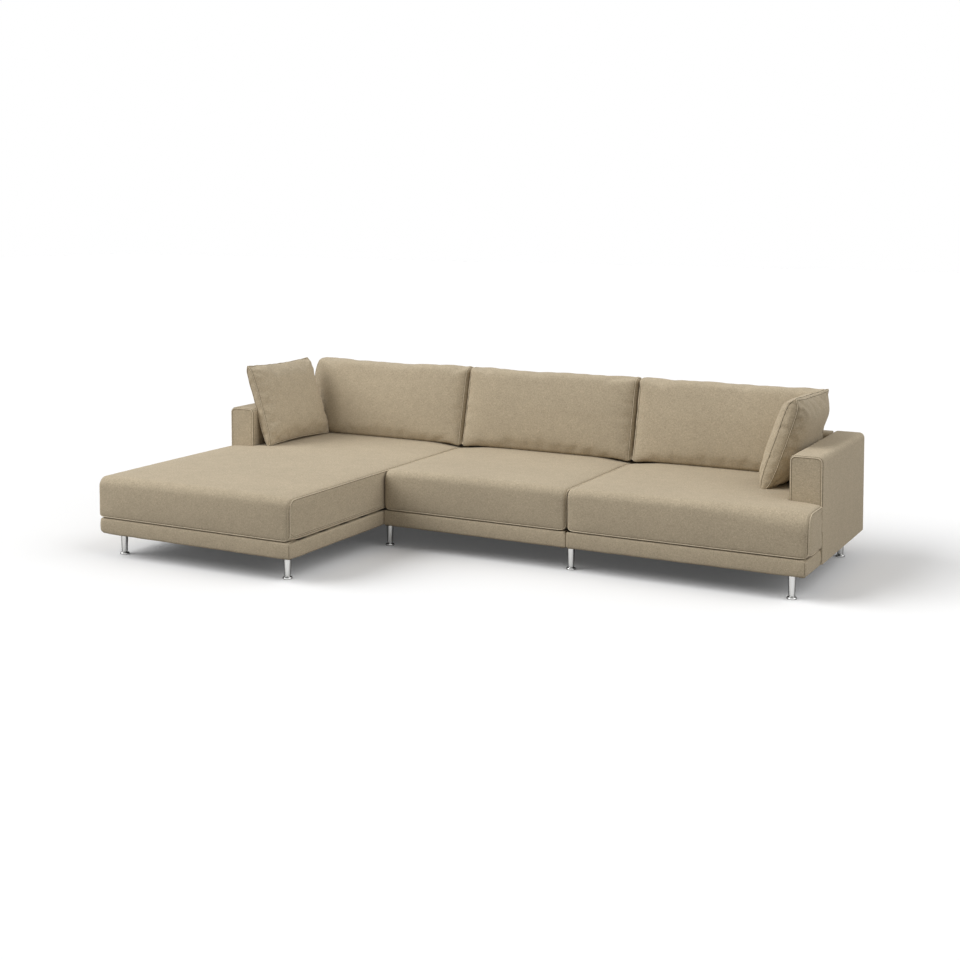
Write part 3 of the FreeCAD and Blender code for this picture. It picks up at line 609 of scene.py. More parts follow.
def swell(piece, pins, cap, pressure, slack, stiffness=20.0, bending=0.6):
    """Let a closed mesh swell like a filled cover; pins hold its points, cap is the farthest move."""
    start = points_of(piece.data)
    group = piece.vertex_groups.new(name="pinned")
    for index, weight in enumerate(pins):
        if weight > 0:
            group.add([index], float(weight), "REPLACE")
    modifier = piece.modifiers.new("Cloth", "CLOTH")
    settings = modifier.settings
    settings.quality = CLOTH_QUALITY
    settings.mass = CLOTH_MASS
    settings.tension_stiffness = settings.compression_stiffness = stiffness
    settings.shear_stiffness = stiffness / 2
    settings.bending_stiffness = bending
    settings.use_pressure = True
    settings.uniform_pressure_force = pressure
    settings.shrink_min = -slack
    settings.effector_weights.gravity = 0
    settings.vertex_group_mass = group.name
    modifier.collision_settings.use_collision = False
    modifier.point_cache.frame_end = CLOTH_FRAMES
    for frame_number in range(1, CLOTH_FRAMES + 1):
        scene.frame_set(frame_number)
    mesh = worked_mesh(piece)
    moved = points_of(mesh) - start
    bpy.data.meshes.remove(mesh)
    scene.frame_set(1)
    length = np.linalg.norm(moved, axis=1)
    soft_cap = cap * np.tanh(length / cap)
    share = np.where(length > TINY, soft_cap / np.maximum(length, TINY), 0)
    set_points(piece.data, start + moved * share[:, None])
    piece.vertex_groups.clear()


# Seat cushions

SEAT_SPACING = 21 * MM
SEAT_FOOT_SPACING = 60 * MM
SEAT_EDGE = 13 * MM
SEAT_FOOT_ROLL = 13 * MM
SEAT_REAR_ROLL = 30 * MM
SEAT_REAR_FOOT_ROLL = 10 * MM
SEAT_CORNER = 22 * MM
SEAT_FRONT_BOW = 5 * MM
SEAT_SIDE_DROP = 12 * MM
SEAT_REAR_CORNER_DROP = 21 * MM
SEAT_GAP = 2.3 * MM
SEAT_SEAM_COLUMN = 2
SEAT_SWELL = 6 * MM
SEAT_CORNER_LIFT = 0.8
SEAT_FRONT_REACH = 90 * MM
SEAT_FOOT_REACH = 50 * MM
SEAT_BOW_REACH = 160 * MM
SEAT_DROP_REACH = 50 * MM
SEAT_REAR_COVERED = 60 * MM
SEAT_CORNER_REACH = 120 * MM
ARM_LINE_GAP = 0.6 * MM
ARM_LINE_CLEAR = 9 * MM
LOWER_SEAM_SETBACK = 14 * MM
LOWER_SEAM_HEIGHT = 17 * MM
LOWER_SEAM_TURN = 34 * MM

seat_front = low("middle_seat_cushion").y + SEAT_FRONT_BOW
chaise_front = low("chaise_seat_cushion").y + SEAT_FRONT_BOW
seat_rear = BACK_FRONT_Y - SEAT_GAP
arm_stop = ARM_FRONT_Y - 2 * MM
arm_side = ARM_INNER_X - SEAT_GAP
outer_side = high("right_base_cover").x + 9 * MM
split_y = arm_stop - 20 * MM


def wall(y, start, end, steps):
    """Points up or down a wall of an outline, the last one left out."""
    return [(y, z) for z in np.linspace(start, end, steps + 1)[:-1]]


def seat_ring(front, roll, stopped):
    """Side outline of a seat cushion in depth and height, and where its foot, rear and rear top come in it.

    One that stops at an arm keeps the front part's points and puts the rest down its rear wall, so that it
    joins a full one point for point.
    """
    foot_lines = steps_between(front + SEAT_FOOT_ROLL, split_y, SEAT_FOOT_SPACING)[:-1]
    rear_foot_lines = steps_between(split_y, seat_rear - SEAT_REAR_FOOT_ROLL, SEAT_FOOT_SPACING)[:-1]
    rear_lines = steps_between(seat_rear - SEAT_REAR_ROLL, split_y + SEAT_SPACING, SEAT_SPACING)
    front_lines = np.linspace(split_y, front + roll, int((split_y - front) / SEAT_SPACING) - 1)[:-1]
    points = corner_turn(front, SEAT_FOOT_Z, SEAT_FOOT_ROLL, 180, 4)
    foot = len(points) // 2
    points += [(y, SEAT_FOOT_Z) for y in foot_lines]
    rear = len(points)
    behind = [(y, SEAT_FOOT_Z) for y in rear_foot_lines]
    behind += corner_turn(seat_rear, SEAT_FOOT_Z, SEAT_REAR_FOOT_ROLL, 270, 2)
    behind += wall(seat_rear, SEAT_FOOT_Z + SEAT_REAR_FOOT_ROLL, SEAT_TOP_Z - SEAT_REAR_ROLL, 5)
    behind += corner_turn(seat_rear, SEAT_TOP_Z, SEAT_REAR_ROLL, 0, 4)
    behind += [(y, SEAT_TOP_Z) for y in rear_lines]
    if stopped:
        turn = SEAT_EDGE + 1 * MM
        corner = corner_turn(arm_stop, SEAT_FOOT_Z, turn, 270, 6)
        heights = np.linspace(SEAT_FOOT_Z + turn, SEAT_TOP_Z - 4 * MM, len(behind) - len(corner))
        behind = corner + [(arm_stop, z) for z in heights]
    points += behind
    rear_top = len(points) - len(rear_lines)
    points += [(y, SEAT_TOP_Z) for y in front_lines]
    points += corner_turn(front, SEAT_TOP_Z, roll, 90, 6)
    points += wall(front, SEAT_TOP_Z - roll, SEAT_FOOT_Z + SEAT_FOOT_ROLL, 8)
    return np.array(points), (foot, rear, rear_top)


def seat_cushion(name, left, right, front, arm_zone, rolls, bulges, crown, seed, body):
    """Boxed seat cushion; arm_zone is the side of the cushion that stops at an arm's front, or nothing."""
    lines = graded(left, right, SEAT_EDGE, SEAT_SPACING)
    if arm_zone:
        edge = arm_side * arm_zone
        lines = sorted([x for x in lines if abs(x - edge) > ARM_LINE_CLEAR]
                       + [edge - ARM_LINE_GAP, edge + ARM_LINE_GAP])
    rings = []
    for x in lines:
        roll = rolls[0] + (rolls[1] - rolls[0]) * smooth_step((x - left) / (right - left), 0.55, 1.0)
        ring, marks = seat_ring(front, float(roll), bool(arm_zone) and x * arm_zone > arm_side)
        rings.append(ring_at(x, ring - outward_normals(ring) * edge_inset(x, left, right, SEAT_EDGE)))
    foot, rear, rear_top = marks
    points, faces = skinned(rings, bulges)
    x, y, z = points.T
    left_gap, right_gap = x - left, right - x
    side_gap = np.minimum(left_gap, right_gap)
    height = np.clip((z - SEAT_FOOT_Z) / (SEAT_TOP_Z - SEAT_FOOT_Z), 0, 1)
    near_front = fading(y, front, front + SEAT_FRONT_REACH)
    corner = rounded(SEAT_CORNER, side_gap)
    y += corner * near_front
    near_foot = fading(z, SEAT_FOOT_Z, SEAT_FOOT_Z + SEAT_FOOT_REACH)
    z += corner * SEAT_CORNER_LIFT * near_foot * fading(y, front + 20 * MM, front + 70 * MM)
    bow = np.sin(height * math.pi) * smooth_step(side_gap, 0, SEAT_BOW_REACH) * near_front
    y -= SEAT_FRONT_BOW * bow
    drop = SEAT_SIDE_DROP * np.exp(-side_gap / SEAT_DROP_REACH)
    rear_gap = np.maximum(np.maximum(seat_rear - y, 0) - SEAT_REAR_COVERED, 0)
    for gap in (left_gap, right_gap):
        drop = np.maximum(drop, SEAT_REAR_CORNER_DROP * bell(np.hypot(gap, rear_gap), SEAT_CORNER_REACH))
    across = np.clip(left_gap / (right - left), 0, 1)
    free = np.clip((y - front) / (ARM_FRONT_Y - 40 * MM - front), 0, 1)
    rise = crown * np.sin(across * math.pi) ** 0.5 * np.sin(free * math.pi) ** 0.7
    z += (rise - drop) * smooth_step(height, 0, 1)
    piece = new_piece(f"{name}_cushion_soft", points, faces, sofa_fabric, body)
    held = [fading(side_gap, 14 * MM, 50 * MM), fading(z, SEAT_FOOT_Z + 10 * MM, SEAT_FOOT_Z + 40 * MM),
            smooth_step(y, seat_rear - 130 * MM, seat_rear - 60 * MM)]
    if arm_zone:
        behind = smooth_step(y, arm_stop - 60 * MM, arm_stop - 20 * MM)
        held += [behind * fading(np.abs(x - edge), 20 * MM, 60 * MM), behind * (x * arm_zone > arm_side)]
    swell(piece, np.maximum.reduce(held), SEAT_SWELL, pressure=1.3, slack=0.012)
    points = points_of(piece.data)
    count, columns = len(ring), (SEAT_SEAM_COLUMN, len(lines) - 1 - SEAT_SEAM_COLUMN)
    seams = [ring_of(points, column, count) for column in columns]
    first, last = (np.vstack([seam[rear_top:], seam[:foot + 1]]) for seam in seams)
    foot_row = points[[column * count + foot for column in range(columns[0] + 1, columns[1])]]
    path = np.vstack([first, foot_row, last[::-1]])
    set_points(piece.data, gathered(points, normals_of(piece.data), [path], *SEAT_GATHER, seed))
    subdivided(piece)
    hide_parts(f"{name}_cushion")
    sewn(f"{name}_piping", piece, path, body, rounds=4)
    for number, seam in enumerate(seams, start=1):
        sewn(f"{name}_foot_seam_{number}", piece, seam[foot:rear], body,
             radius=SEAM, lift=0.5 * MM, with_painted_shade=False)
    return piece


def lower_seam(name, piece, x, front, rear, body):
    """Second seam of a side panel: it rounds out of the front corner and runs back just above the foot."""
    start, z, turn = front + LOWER_SEAM_SETBACK, SEAT_FOOT_Z + LOWER_SEAM_HEIGHT, LOWER_SEAM_TURN
    path = [(x, start + turn * (1 - math.sin(a)), z + turn * (1 - math.cos(a)))
            for a in np.linspace(math.pi / 2, 0, 8)]
    path += [(x, y, z) for y in steps_between(start + turn, rear, 20 * MM)[1:]]
    sewn(f"{name}_lower_piping", piece, path, body, radius=1.7 * MM, lift=0.6 * MM)


chaise_seat = seat_cushion("chaise_seat", -outer_side, -JUNCTION_X - SEAT_GAP, chaise_front, -1,
                           (44 * MM, 40 * MM), (4 * MM, 0), 8 * MM, 0.4, "chaise_seat")
lower_seam("chaise_seat", chaise_seat, -JUNCTION_X - SEAT_GAP, chaise_front, seat_front - 12 * MM,
           "chaise_seat")
seat_cushion("middle_seat", -JUNCTION_X + SEAT_GAP, JUNCTION_X - SEAT_GAP, seat_front, 0,
             (40 * MM, 40 * MM), (0, 0), 3 * MM, 1.3, "middle_seat")
seat_cushion("right_seat", JUNCTION_X + SEAT_GAP, outer_side, seat_front, 1,
             (40 * MM, 78 * MM), (0, 4 * MM), 3 * MM, 2.9, "right_seat")


# Back cushions

BACK_SPACING = 18 * MM
BACK_EDGE = 24 * MM
BACK_SEAM_COLUMN = 4
BACK_FOOT_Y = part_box("middle_back_cushion")[0].y
BACK_FOOT_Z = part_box("middle_back_cushion")[0].z
BACK_REAR_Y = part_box("middle_back_cushion")[1].y
BACK_LEAN = 101 * MM
BACK_CROWN = 24 * MM
BACK_TOP_CROWN = 4 * MM
BACK_CORNER_DROP = 11 * MM
BACK_SEAM_PIN = 0.9
BACK_SWELL_REACH = 120 * MM
BACK_CORNER_REACH = 60 * MM
FREE_CORNER = 5 * MM
FREE_BULGE = 2 * MM
BESIDE_CORNER = 9 * MM
BESIDE_BULGE = 0.6 * MM
BACK_GAP = 1.2 * MM
LEDGE_Z = ARM_TOP_Z + 3 * MM
ARM_SWELL = 46 * MM
SOFT_SWELL = 13 * MM


def back_ring():
    """Side outline of a back cushion: leaning front, soft top, rear over the fixed back's top."""
    rear_foot, rear_top = BACK_FRONT_Y - 6 * MM, BACK_REAR_Y - 3 * MM
    front_foot, top = BACK_FOOT_Y + 5 * MM, BACK_TOP_Z - 6 * MM
    # Each corner's place, how far it is cut, and how many points its turn and the side after it have.
    corners = [(front_foot, BACK_FOOT_Z, 16, 4, 5), (rear_foot, BACK_FOOT_Z, 16, 3, 8),
               (rear_foot, LEDGE_Z, 12, 3, 3), (rear_top, LEDGE_Z + 55 * MM, 26, 3, 5),
               (rear_top, top, 34, 5, 6), (front_foot + BACK_LEAN, top, 28, 5, 24)]
    spots, cuts = [np.array(corner[:2]) for corner in corners], [corner[2] * MM for corner in corners]
    points = []
    for i, (*_, turn_steps, side_steps) in enumerate(corners):
        following = (i + 1) % len(corners)
        before, here, after = spots[i - 1], spots[i], spots[following]
        step_in, step_out = unit(here - before), unit(after - here)
        start, end = here - step_in * cuts[i], here + step_out * cuts[i]
        for k in range(turn_steps):
            t = k / turn_steps
            points.append((1 - t) ** 2 * start + 2 * t * (1 - t) * here + t * t * end)
        side = after - step_out * cuts[following] - end
        points += [end + side * k / side_steps for k in range(side_steps)]
    return np.array(points)


def back_cushion(name, left, right, ends, seed, body):
    """Leaning back cushion; ends give how far each end swells over an arm, or 0 beside another cushion."""
    lines = graded(left, right, BACK_EDGE, BACK_SPACING, fine=6)
    ring = back_ring()
    normals = outward_normals(ring)
    facing = np.clip(-normals[:, 0] * 1.25, 0, 1)
    upward = np.clip(normals[:, 1], 0, 1) * (ring[:, 1] > LEDGE_Z)
    height = np.clip((ring[:, 1] - BACK_FOOT_Z) / (BACK_TOP_Z - BACK_FOOT_Z), 0, 1)
    belly = np.sin(np.pi * np.clip(height * 0.94 + 0.05, 0, 1)) ** 0.85
    rings = []
    for x in lines:
        across = (x - left) / (right - left)
        fullness = 1 - abs(2 * across - 1) ** 3.5
        crown = BACK_CROWN * fullness * facing * belly
        sag = 3 * MM * math.sin(across * 9.0 + seed) + 1 * MM * math.sin(across * 17.0 + 2.1 * seed)
        top_crown = (BACK_TOP_CROWN * fullness + sag * fullness * 0.6) * upward
        inset = edge_inset(x, left, right, BACK_EDGE)
        rings.append(ring_at(x, ring - normals * np.reshape(inset - crown - top_crown, (-1, 1))))
    points, faces = skinned(rings, [FREE_BULGE if end else BESIDE_BULGE for end in ends])
    x, y, z = points.T
    height = np.clip((z - LEDGE_Z) / (BACK_TOP_Z - LEDGE_Z), 0, 1)
    near_foot = fading(z, BACK_FOOT_Z, BACK_FOOT_Z + 40 * MM)
    in_front = fading(y, BACK_FRONT_Y - 40 * MM, BACK_FRONT_Y - 10 * MM)
    for end, gap, outwards in ((ends[0], x - left, -1), (ends[1], right - x, 1)):
        if end:
            bulge = end * np.sin(np.pi * (0.12 + 0.7 * height))
            x += outwards * bulge * fading(gap, 0, BACK_SWELL_REACH)
        else:
            z -= BACK_CORNER_DROP * bell(gap, BACK_CORNER_REACH) * near_foot * in_front
        turn = rounded(FREE_CORNER if end else BESIDE_CORNER, gap)
        z -= turn * smooth_step(z, BACK_TOP_Z - 110 * MM, BACK_TOP_Z - 20 * MM)
    piece = new_piece(f"{name}_back_cushion_soft", points, faces, sofa_fabric, body)
    count, columns = len(ring), len(lines)
    seam_columns = (BACK_SEAM_COLUMN, columns - 1 - BACK_SEAM_COLUMN)
    pins = np.full(len(points), BACK_SEAM_PIN)
    pins[:count * columns] = np.tile((facing < 0.35) & (upward < 0.3), columns)
    for column in seam_columns:
        ring_of(pins, column, count)[:] = BACK_SEAM_PIN
    swell(piece, pins, SOFT_SWELL, pressure=2.6, slack=0.02)
    points = points_of(piece.data)
    paths = [ring_of(points, column, count) for column in seam_columns]
    set_points(piece.data, gathered(points, normals_of(piece.data), paths, *BACK_GATHER, seed, closed=True))
    subdivided(piece)
    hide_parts(f"{name}_back_cushion")
    for number, path in enumerate(paths, start=1):
        sewn(f"{name}_back_piping_{number}", piece, path, body, radius=2.2 * MM, lift=0.8 * MM, closed=True)


back_side = ARM_INNER_X - 4 * MM
back_cushion("chaise", -back_side, -JUNCTION_X - BACK_GAP, (ARM_SWELL, 0), 0.3, "chaise_back")
back_cushion("middle", -JUNCTION_X + BACK_GAP, JUNCTION_X - BACK_GAP, (0, 0), 2.2, "middle_back")
back_cushion("right", JUNCTION_X + BACK_GAP, back_side - 22 * MM, (0, 3 * MM), 4.1, "right_back")


# Throw pillows

PILLOW_SPACING = 12 * MM
PILLOW_WIDTH = 526 * MM
PILLOW_HEIGHT = 462 * MM
PILLOW_LAYERS = 4
PILLOW_SEAM_PIN = 0.8
PILLOW_SINK = 5 * MM
PILLOW_WAIST = 0.03
PILLOW_DIP = 0.05
PILLOW_POWER = 3.4
GUSSET_BULGE = 0.012
EAR_FOLDS = ((-16, 5.5, 0.62), (13, 4.0, 0.45), (0, -2.5, 0.5))

# Each pillow's fullness, lean, place and shape, in millimetres and degrees.
PILLOWS = {
    "left": {"side": -1, "room": 70, "arm": 32, "lean": 19, "turn": -4, "foot": 101, "forward": 290,
             "foot_press": 0, "top_press": 0, "gusset": 44, "rear_taper": 0,
             "rear_shift": (0, 0, 0), "seed": 0.7},
    "right": {"side": 1, "room": 70, "arm": 74, "lean": 19.3, "turn": -2, "foot": 166, "forward": 432,
              "foot_press": 150, "top_press": 58, "gusset": 58, "rear_taper": 0.34,
              "rear_shift": (14, 6, -6), "seed": 3.1},
}


def eased(t):
    return 1.3 * t - 0.3 * t ** 3


def pillow_shell(plan):
    """Boxed pillow lying on its back: a panel to the room, a gusset and a panel to the arm."""
    columns = int(round(PILLOW_WIDTH / PILLOW_SPACING))
    rows = int(round(PILLOW_HEIGHT / PILLOW_SPACING))
    room, arm, gusset = plan["room"] * MM, plan["arm"] * MM, plan["gusset"] * MM
    index, verts, top = {}, [], PILLOW_LAYERS

    def point(i, j, k):
        if (i, j, k) in index:
            return index[(i, j, k)]
        u, v = eased(2 * i / columns - 1), eased(2 * j / rows - 1)
        a = PILLOW_WIDTH / 2 * u * (1 - PILLOW_WAIST * abs(u) ** 2.5 * (1 - v * v))
        b = PILLOW_HEIGHT / 2 * v * (1 - PILLOW_DIP * abs(v) ** 2.5 * (1 - u * u))
        press = (plan["foot_press"] * (1 - v) + plan["top_press"] * (1 + v)) / 2 * MM
        a += press * fading(a, -PILLOW_WIDTH / 2, PILLOW_WIDTH / 2) * 0.999
        ears = (u * u * v * v) ** 3
        taper = 0.84 - plan["rear_taper"] * float(smooth_step(-plan["side"] * u, 0.3, 0.9))
        half = gusset / 2 * (1 - 0.55 * ears) * (1 - 0.62 * float(smooth_step(v, taper, 1.0)))
        full = max(0.0, (1 - abs(u) ** PILLOW_POWER) * (1 - abs(v) ** PILLOW_POWER)) ** 0.55
        if k == top:
            c = half + (room - gusset / 2) * full
        elif k == 0:
            c = -half - (arm - gusset / 2) * full
        else:
            t = 2 * k / top - 1
            c = half * t
            a *= 1 + GUSSET_BULGE * (1 - t * t)
            b *= 1 + GUSSET_BULGE * (1 - t * t)
        index[(i, j, k)] = len(verts)
        verts.append((a, b, c))
        return index[(i, j, k)]

    faces = []
    for i in range(columns):
        for j in range(rows):
            turn = ((i, j), (i + 1, j), (i + 1, j + 1), (i, j + 1))
            for k, corners in ((top, turn), (0, (turn[0], *turn[:0:-1]))):
                faces.append(tuple(point(*corner, k) for corner in corners))
    rim = [(i, 0) for i in range(columns)] + [(columns, j) for j in range(rows)]
    rim += [(i, rows) for i in range(columns, 0, -1)] + [(0, j) for j in range(rows, 0, -1)]
    for here, after in zip(rim, rim[1:] + rim[:1]):
        for k in range(top):
            faces.append((point(*here, k), point(*after, k), point(*after, k + 1), point(*here, k + 1)))
    seams = [[index[(i, j, k)] for i, j in rim] for k in (0, top)]
    return np.array(verts), faces, seams


def ear_folds(points, normals):
    """Soft folds that run from each ear towards the middle of both panels."""
    moved = points.copy()
    for across, up in ((-1, -1), (1, -1), (1, 1), (-1, 1)):
        ear = np.array([across * PILLOW_WIDTH / 2, up * PILLOW_HEIGHT / 2])
        offset = points[:, :2] - ear
        for swing, depth, length in EAR_FOLDS:
            a = math.atan2(-ear[1], -ear[0]) + math.radians(swing)
            inwards = np.array([math.cos(a), math.sin(a)])
            along = offset @ inwards
            beside = offset @ np.array([-inwards[1], inwards[0]])
            reach = length * PILLOW_WIDTH / 2
            width = 7 * MM + 0.09 * np.maximum(along, 0)
            window = smooth_step(along, 15 * MM, 60 * MM) * fading(along, 0.55 * reach, reach)
            fold = depth * MM * bell(beside, width) * window
            moved -= normals * fold[:, None] * (np.abs(normals[:, 2:3]) > 0.3)
    return moved


def pillow(name, plan, body):
    """Pillow that leans on an arm, standing on the seat."""
    verts, faces, seams = pillow_shell(plan)
    piece = new_piece(f"{name}_throw_pillow", verts, faces, sofa_fabric, body)
    pins = np.zeros(len(verts))
    pins[seams] = PILLOW_SEAM_PIN
    swell(piece, pins, SOFT_SWELL, pressure=2.4, slack=0.035, stiffness=15.0, bending=0.25)
    points, normals = points_of(piece.data), normals_of(piece.data)
    paths = [points[row] for row in seams]
    points = gathered(points, normals, paths, *PILLOW_GATHER, plan["seed"], closed=True)
    points = ear_folds(points, normals)
    side = plan["side"]
    lean, turn = math.radians(plan["lean"]), math.radians(plan["turn"])
    towards_room = np.array([-side * math.cos(lean), 0, math.sin(lean)])
    upwards = np.array([side * math.sin(lean), 0, math.cos(lean)])
    c, s = math.cos(turn), math.sin(turn)
    spin = np.array([[c, s, 0], [-s, c, 0], [0, 0, 1]])
    axes = np.array([np.cross(upwards, towards_room), upwards, towards_room]) @ spin
    foot = side * (ARM_INNER_X - plan["foot"] * MM)
    base = np.array([foot + upwards[0] * PILLOW_HEIGHT / 2, ARM_FRONT_Y + plan["forward"] * MM, 0])
    placed = points @ axes + base
    rear_share = smooth_step(-side * points[:, 0] / PILLOW_WIDTH * 2, -0.2, 0.9)
    rear_share *= smooth_step(points[:, 1] / PILLOW_HEIGHT * 2, -0.6, 0.4)
    placed += rear_share[:, None] * np.array(plan["rear_shift"]) * MM
    floor_z = low(f"{name}_pillow").z
    rise = floor_z - placed[:, 2].min() - PILLOW_SINK
    placed[:, 2] = np.maximum(placed[:, 2] + rise, floor_z)
    set_points(piece.data, placed)
    subdivided(piece)
    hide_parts(f"{name}_pillow")
    for number, row in enumerate(seams, start=1):
        sewn(f"{name}_pillow_piping_{number}", piece, placed[row], body, radius=1.9 * MM, lift=0.7 * MM,
             closed=True, rounds=2)


for pillow_name, pillow_plan in PILLOWS.items():
    pillow(pillow_name, pillow_plan, f"{pillow_name}_throw_pillow")


# Base covers

SKIRT_BULGE = 1.5 * MM
SKIRT_FOOT_ROLL = 12 * MM
SKIRT_SOFT_ROLL = 24 * MM
SKIRT_TOP_ROLL = 8 * MM
SKIRT_FLANGE = 30 * MM
SKIRT_WALL = 11 * MM
SKIRT_HANG = 7 * MM
SKIRT_GAP = 1.6 * MM
SKIRT_FOLD = 2.4 * MM
SKIRT_SPACING = 14 * MM
SKIRT_SHOWING = range(3, 16)
TUCK_DEPTH = 2.2 * MM
FOLD_DEPTH = 0.7 * MM
FOOT_WAVE = 0.8 * MM
DECK_FOLD = 12 * MM
DECK_DIP = 3 * MM
SIDE_DECK_DIP = 8 * MM
DECK_RING = 60 * MM
DECK_EDGE_RING = 30 * MM

SEAM_FOOT_Z = BASE_FOOT_Z + 12 * MM

# A corner's radius, how soft it is and how ruffled.
OUTER_CORNER = (14 * MM, 1.0, 0.5)
SEWN_CORNER = (8 * MM, 0.35, 1.0)
JOINED_CORNER = (5 * MM, 0.0, 0.0)
SOFT_REACH = 42 * MM
RUFFLE_REACH = 48 * MM
FOOT_WAVELENGTH = 190 * MM
TUCK_WAVELENGTH = 15 * MM
FOLD_WAVELENGTH = 75 * MM


def both_ways(distance, wavelength, seed):
    """Waves between -1 and 1."""
    return waves(distance, wavelength, seed) * 2 - 1


def skirt_outline(left, right, front, rear, corners):
    """Plan of a base: places, outward directions, and how far each is drawn in by a soft or a sewn corner."""
    spots = [(left, front), (right, front), (right, rear), (left, rear)]
    places, outwards = [], []
    for i, (x, y) in enumerate(spots):
        radius = corners[i][0]
        middle_x = x + radius * (1 if i in (0, 3) else -1)
        middle_y = y + radius * (1 if i in (0, 1) else -1)
        for k in range(6):
            a = math.radians(180 + 90 * i + 18 * k)
            places.append((middle_x + radius * math.cos(a), middle_y + radius * math.sin(a)))
            outwards.append((math.cos(a), math.sin(a)))
        here, after = np.array(places[-1]), np.array(spots[(i + 1) % 4], float)
        step = np.array([(1, 0), (0, 1), (-1, 0), (0, -1)][i], float)
        length = (after - here) @ step - corners[(i + 1) % 4][0]
        for distance in steps_between(0, length, SKIRT_SPACING)[1:-1]:
            places.append(tuple(here + step * distance))
            outwards.append((step[1], -step[0]))
    places = np.array(places)
    soft, ruffled = np.zeros(len(places)), np.zeros(len(places))
    for spot, (radius, softness, ruffle) in zip(spots, corners):
        gap = np.linalg.norm(places - np.array(spot), axis=1)
        soft = np.maximum(soft, softness * bell(gap, SOFT_REACH))
        ruffled = np.maximum(ruffled, ruffle * bell(gap, RUFFLE_REACH))
    return places, np.array(outwards), soft, ruffled


def base_skirt(name, left, right, front, corners, seed):
    """Fabric over one base: deck, padded walls, rolled foot and the flange stapled under the rails."""
    places, outwards, soft, ruffled = skirt_outline(left, right, front, REAR_Y, corners)
    distance = np.concatenate([[0], np.cumsum(np.linalg.norm(np.diff(places, axis=0), axis=1))])
    foot = BASE_FOOT_Z - SKIRT_HANG + FOOT_WAVE * both_ways(distance, FOOT_WAVELENGTH, seed)
    roll = SKIRT_FOOT_ROLL + (SKIRT_SOFT_ROLL - SKIRT_FOOT_ROLL) * soft
    top_roll = SKIRT_TOP_ROLL * (1 + soft)
    edge_z = DECK_Z - DECK_DIP - (SIDE_DECK_DIP - DECK_DIP) * smooth_step(outwards[:, 0], 0, 0.4)
    inner_z = DECK_Z - DECK_FOLD
    # Rows of points, from the deck over the edge and down to the foot, then up inside: inset and height.
    rows = [(DECK_RING, DECK_Z), (DECK_EDGE_RING, edge_z)]
    for a in map(math.radians, (0, 30, 60, 90)):
        rows.append((top_roll * (1 - math.sin(a)), edge_z - top_roll * (1 - math.cos(a))))
    wall_top = rows[-1][1]
    for share in (0.2, 0.4, 0.6, 0.8):
        rows.append((-SKIRT_BULGE * math.sin(math.pi * share), wall_top + (foot + roll - wall_top) * share))
    for a in map(math.radians, (0, 18, 36, 54, 72, 90)):
        rows.append((roll * (1 - math.cos(a)), foot + roll * (1 - math.sin(a))))
    rows += [(SKIRT_FLANGE, foot), (SKIRT_FLANGE, foot + SKIRT_FOLD), (SKIRT_WALL, foot + SKIRT_FOLD),
             (SKIRT_WALL, inner_z), (DECK_RING, inner_z)]
    tucks = both_ways(distance, TUCK_WAVELENGTH, seed + 1)
    folds = both_ways(distance, FOLD_WAVELENGTH, seed + 2)
    count, verts = len(places), []
    for number, (inset, z) in enumerate(rows):
        low_part = fading(z, BASE_FOOT_Z + 8 * MM, BASE_FOOT_Z + 34 * MM)
        drawn = TUCK_DEPTH * tucks * np.maximum(soft * low_part, ruffled * 0.8) + FOLD_DEPTH * folds
        at = places - outwards * np.reshape(inset + drawn * (number in SKIRT_SHOWING), (-1, 1))
        verts += np.column_stack([at, np.broadcast_to(z, count)]).tolist()
    faces = turned_over(bands(0, len(rows), count)) + [face[::-1] for face in end_faces(0, len(rows), count)]
    piece = new_piece(f"{name}_base_skirt", verts, faces, sofa_fabric, "sofa_frame")
    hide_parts(f"{name}_base_cover")
    return piece


def corner_seam(name, piece, x, y):
    """Seam down a base's sewn corner."""
    path = [(x, y, z) for z in steps_between(DECK_Z - SKIRT_TOP_ROLL, SEAM_FOOT_Z, SEAM_STEP)]
    sewn(f"{name}_base_seam", piece, path, "sofa_frame", radius=1.6 * MM, lift=0.4 * MM)


chaise_skirt = base_skirt("chaise", -HALF_WIDTH, -JUNCTION_X, CHAISE_FRONT_Y,
                          (OUTER_CORNER, SEWN_CORNER, JOINED_CORNER, OUTER_CORNER), 0.9)
base_skirt("middle", -JUNCTION_X + SKIRT_GAP, JUNCTION_X - SKIRT_GAP, FRONT_Y, (JOINED_CORNER,) * 4, 2.4)
right_skirt = base_skirt("right", JUNCTION_X + SKIRT_GAP, HALF_WIDTH, FRONT_Y,
                         (JOINED_CORNER, SEWN_CORNER, OUTER_CORNER, JOINED_CORNER), 4.2)
corner_seam("chaise", chaise_skirt, -JUNCTION_X, CHAISE_FRONT_Y)
corner_seam("right", right_skirt, HALF_WIDTH, FRONT_Y)


# Arms

PANEL_MARGIN = 6 * MM
PANEL_LIFT = 0.3 * MM
PANEL_CORNER = 22 * MM
PANEL_SPACING = 30 * MM
# Gap and sink of the thin dark lines of painted crease shade beside the panel's cord.
PANEL_CREASE_SHADE_GAP = 0.6 * MM
PANEL_CREASE_SHADE_SINK = 0.4 * MM


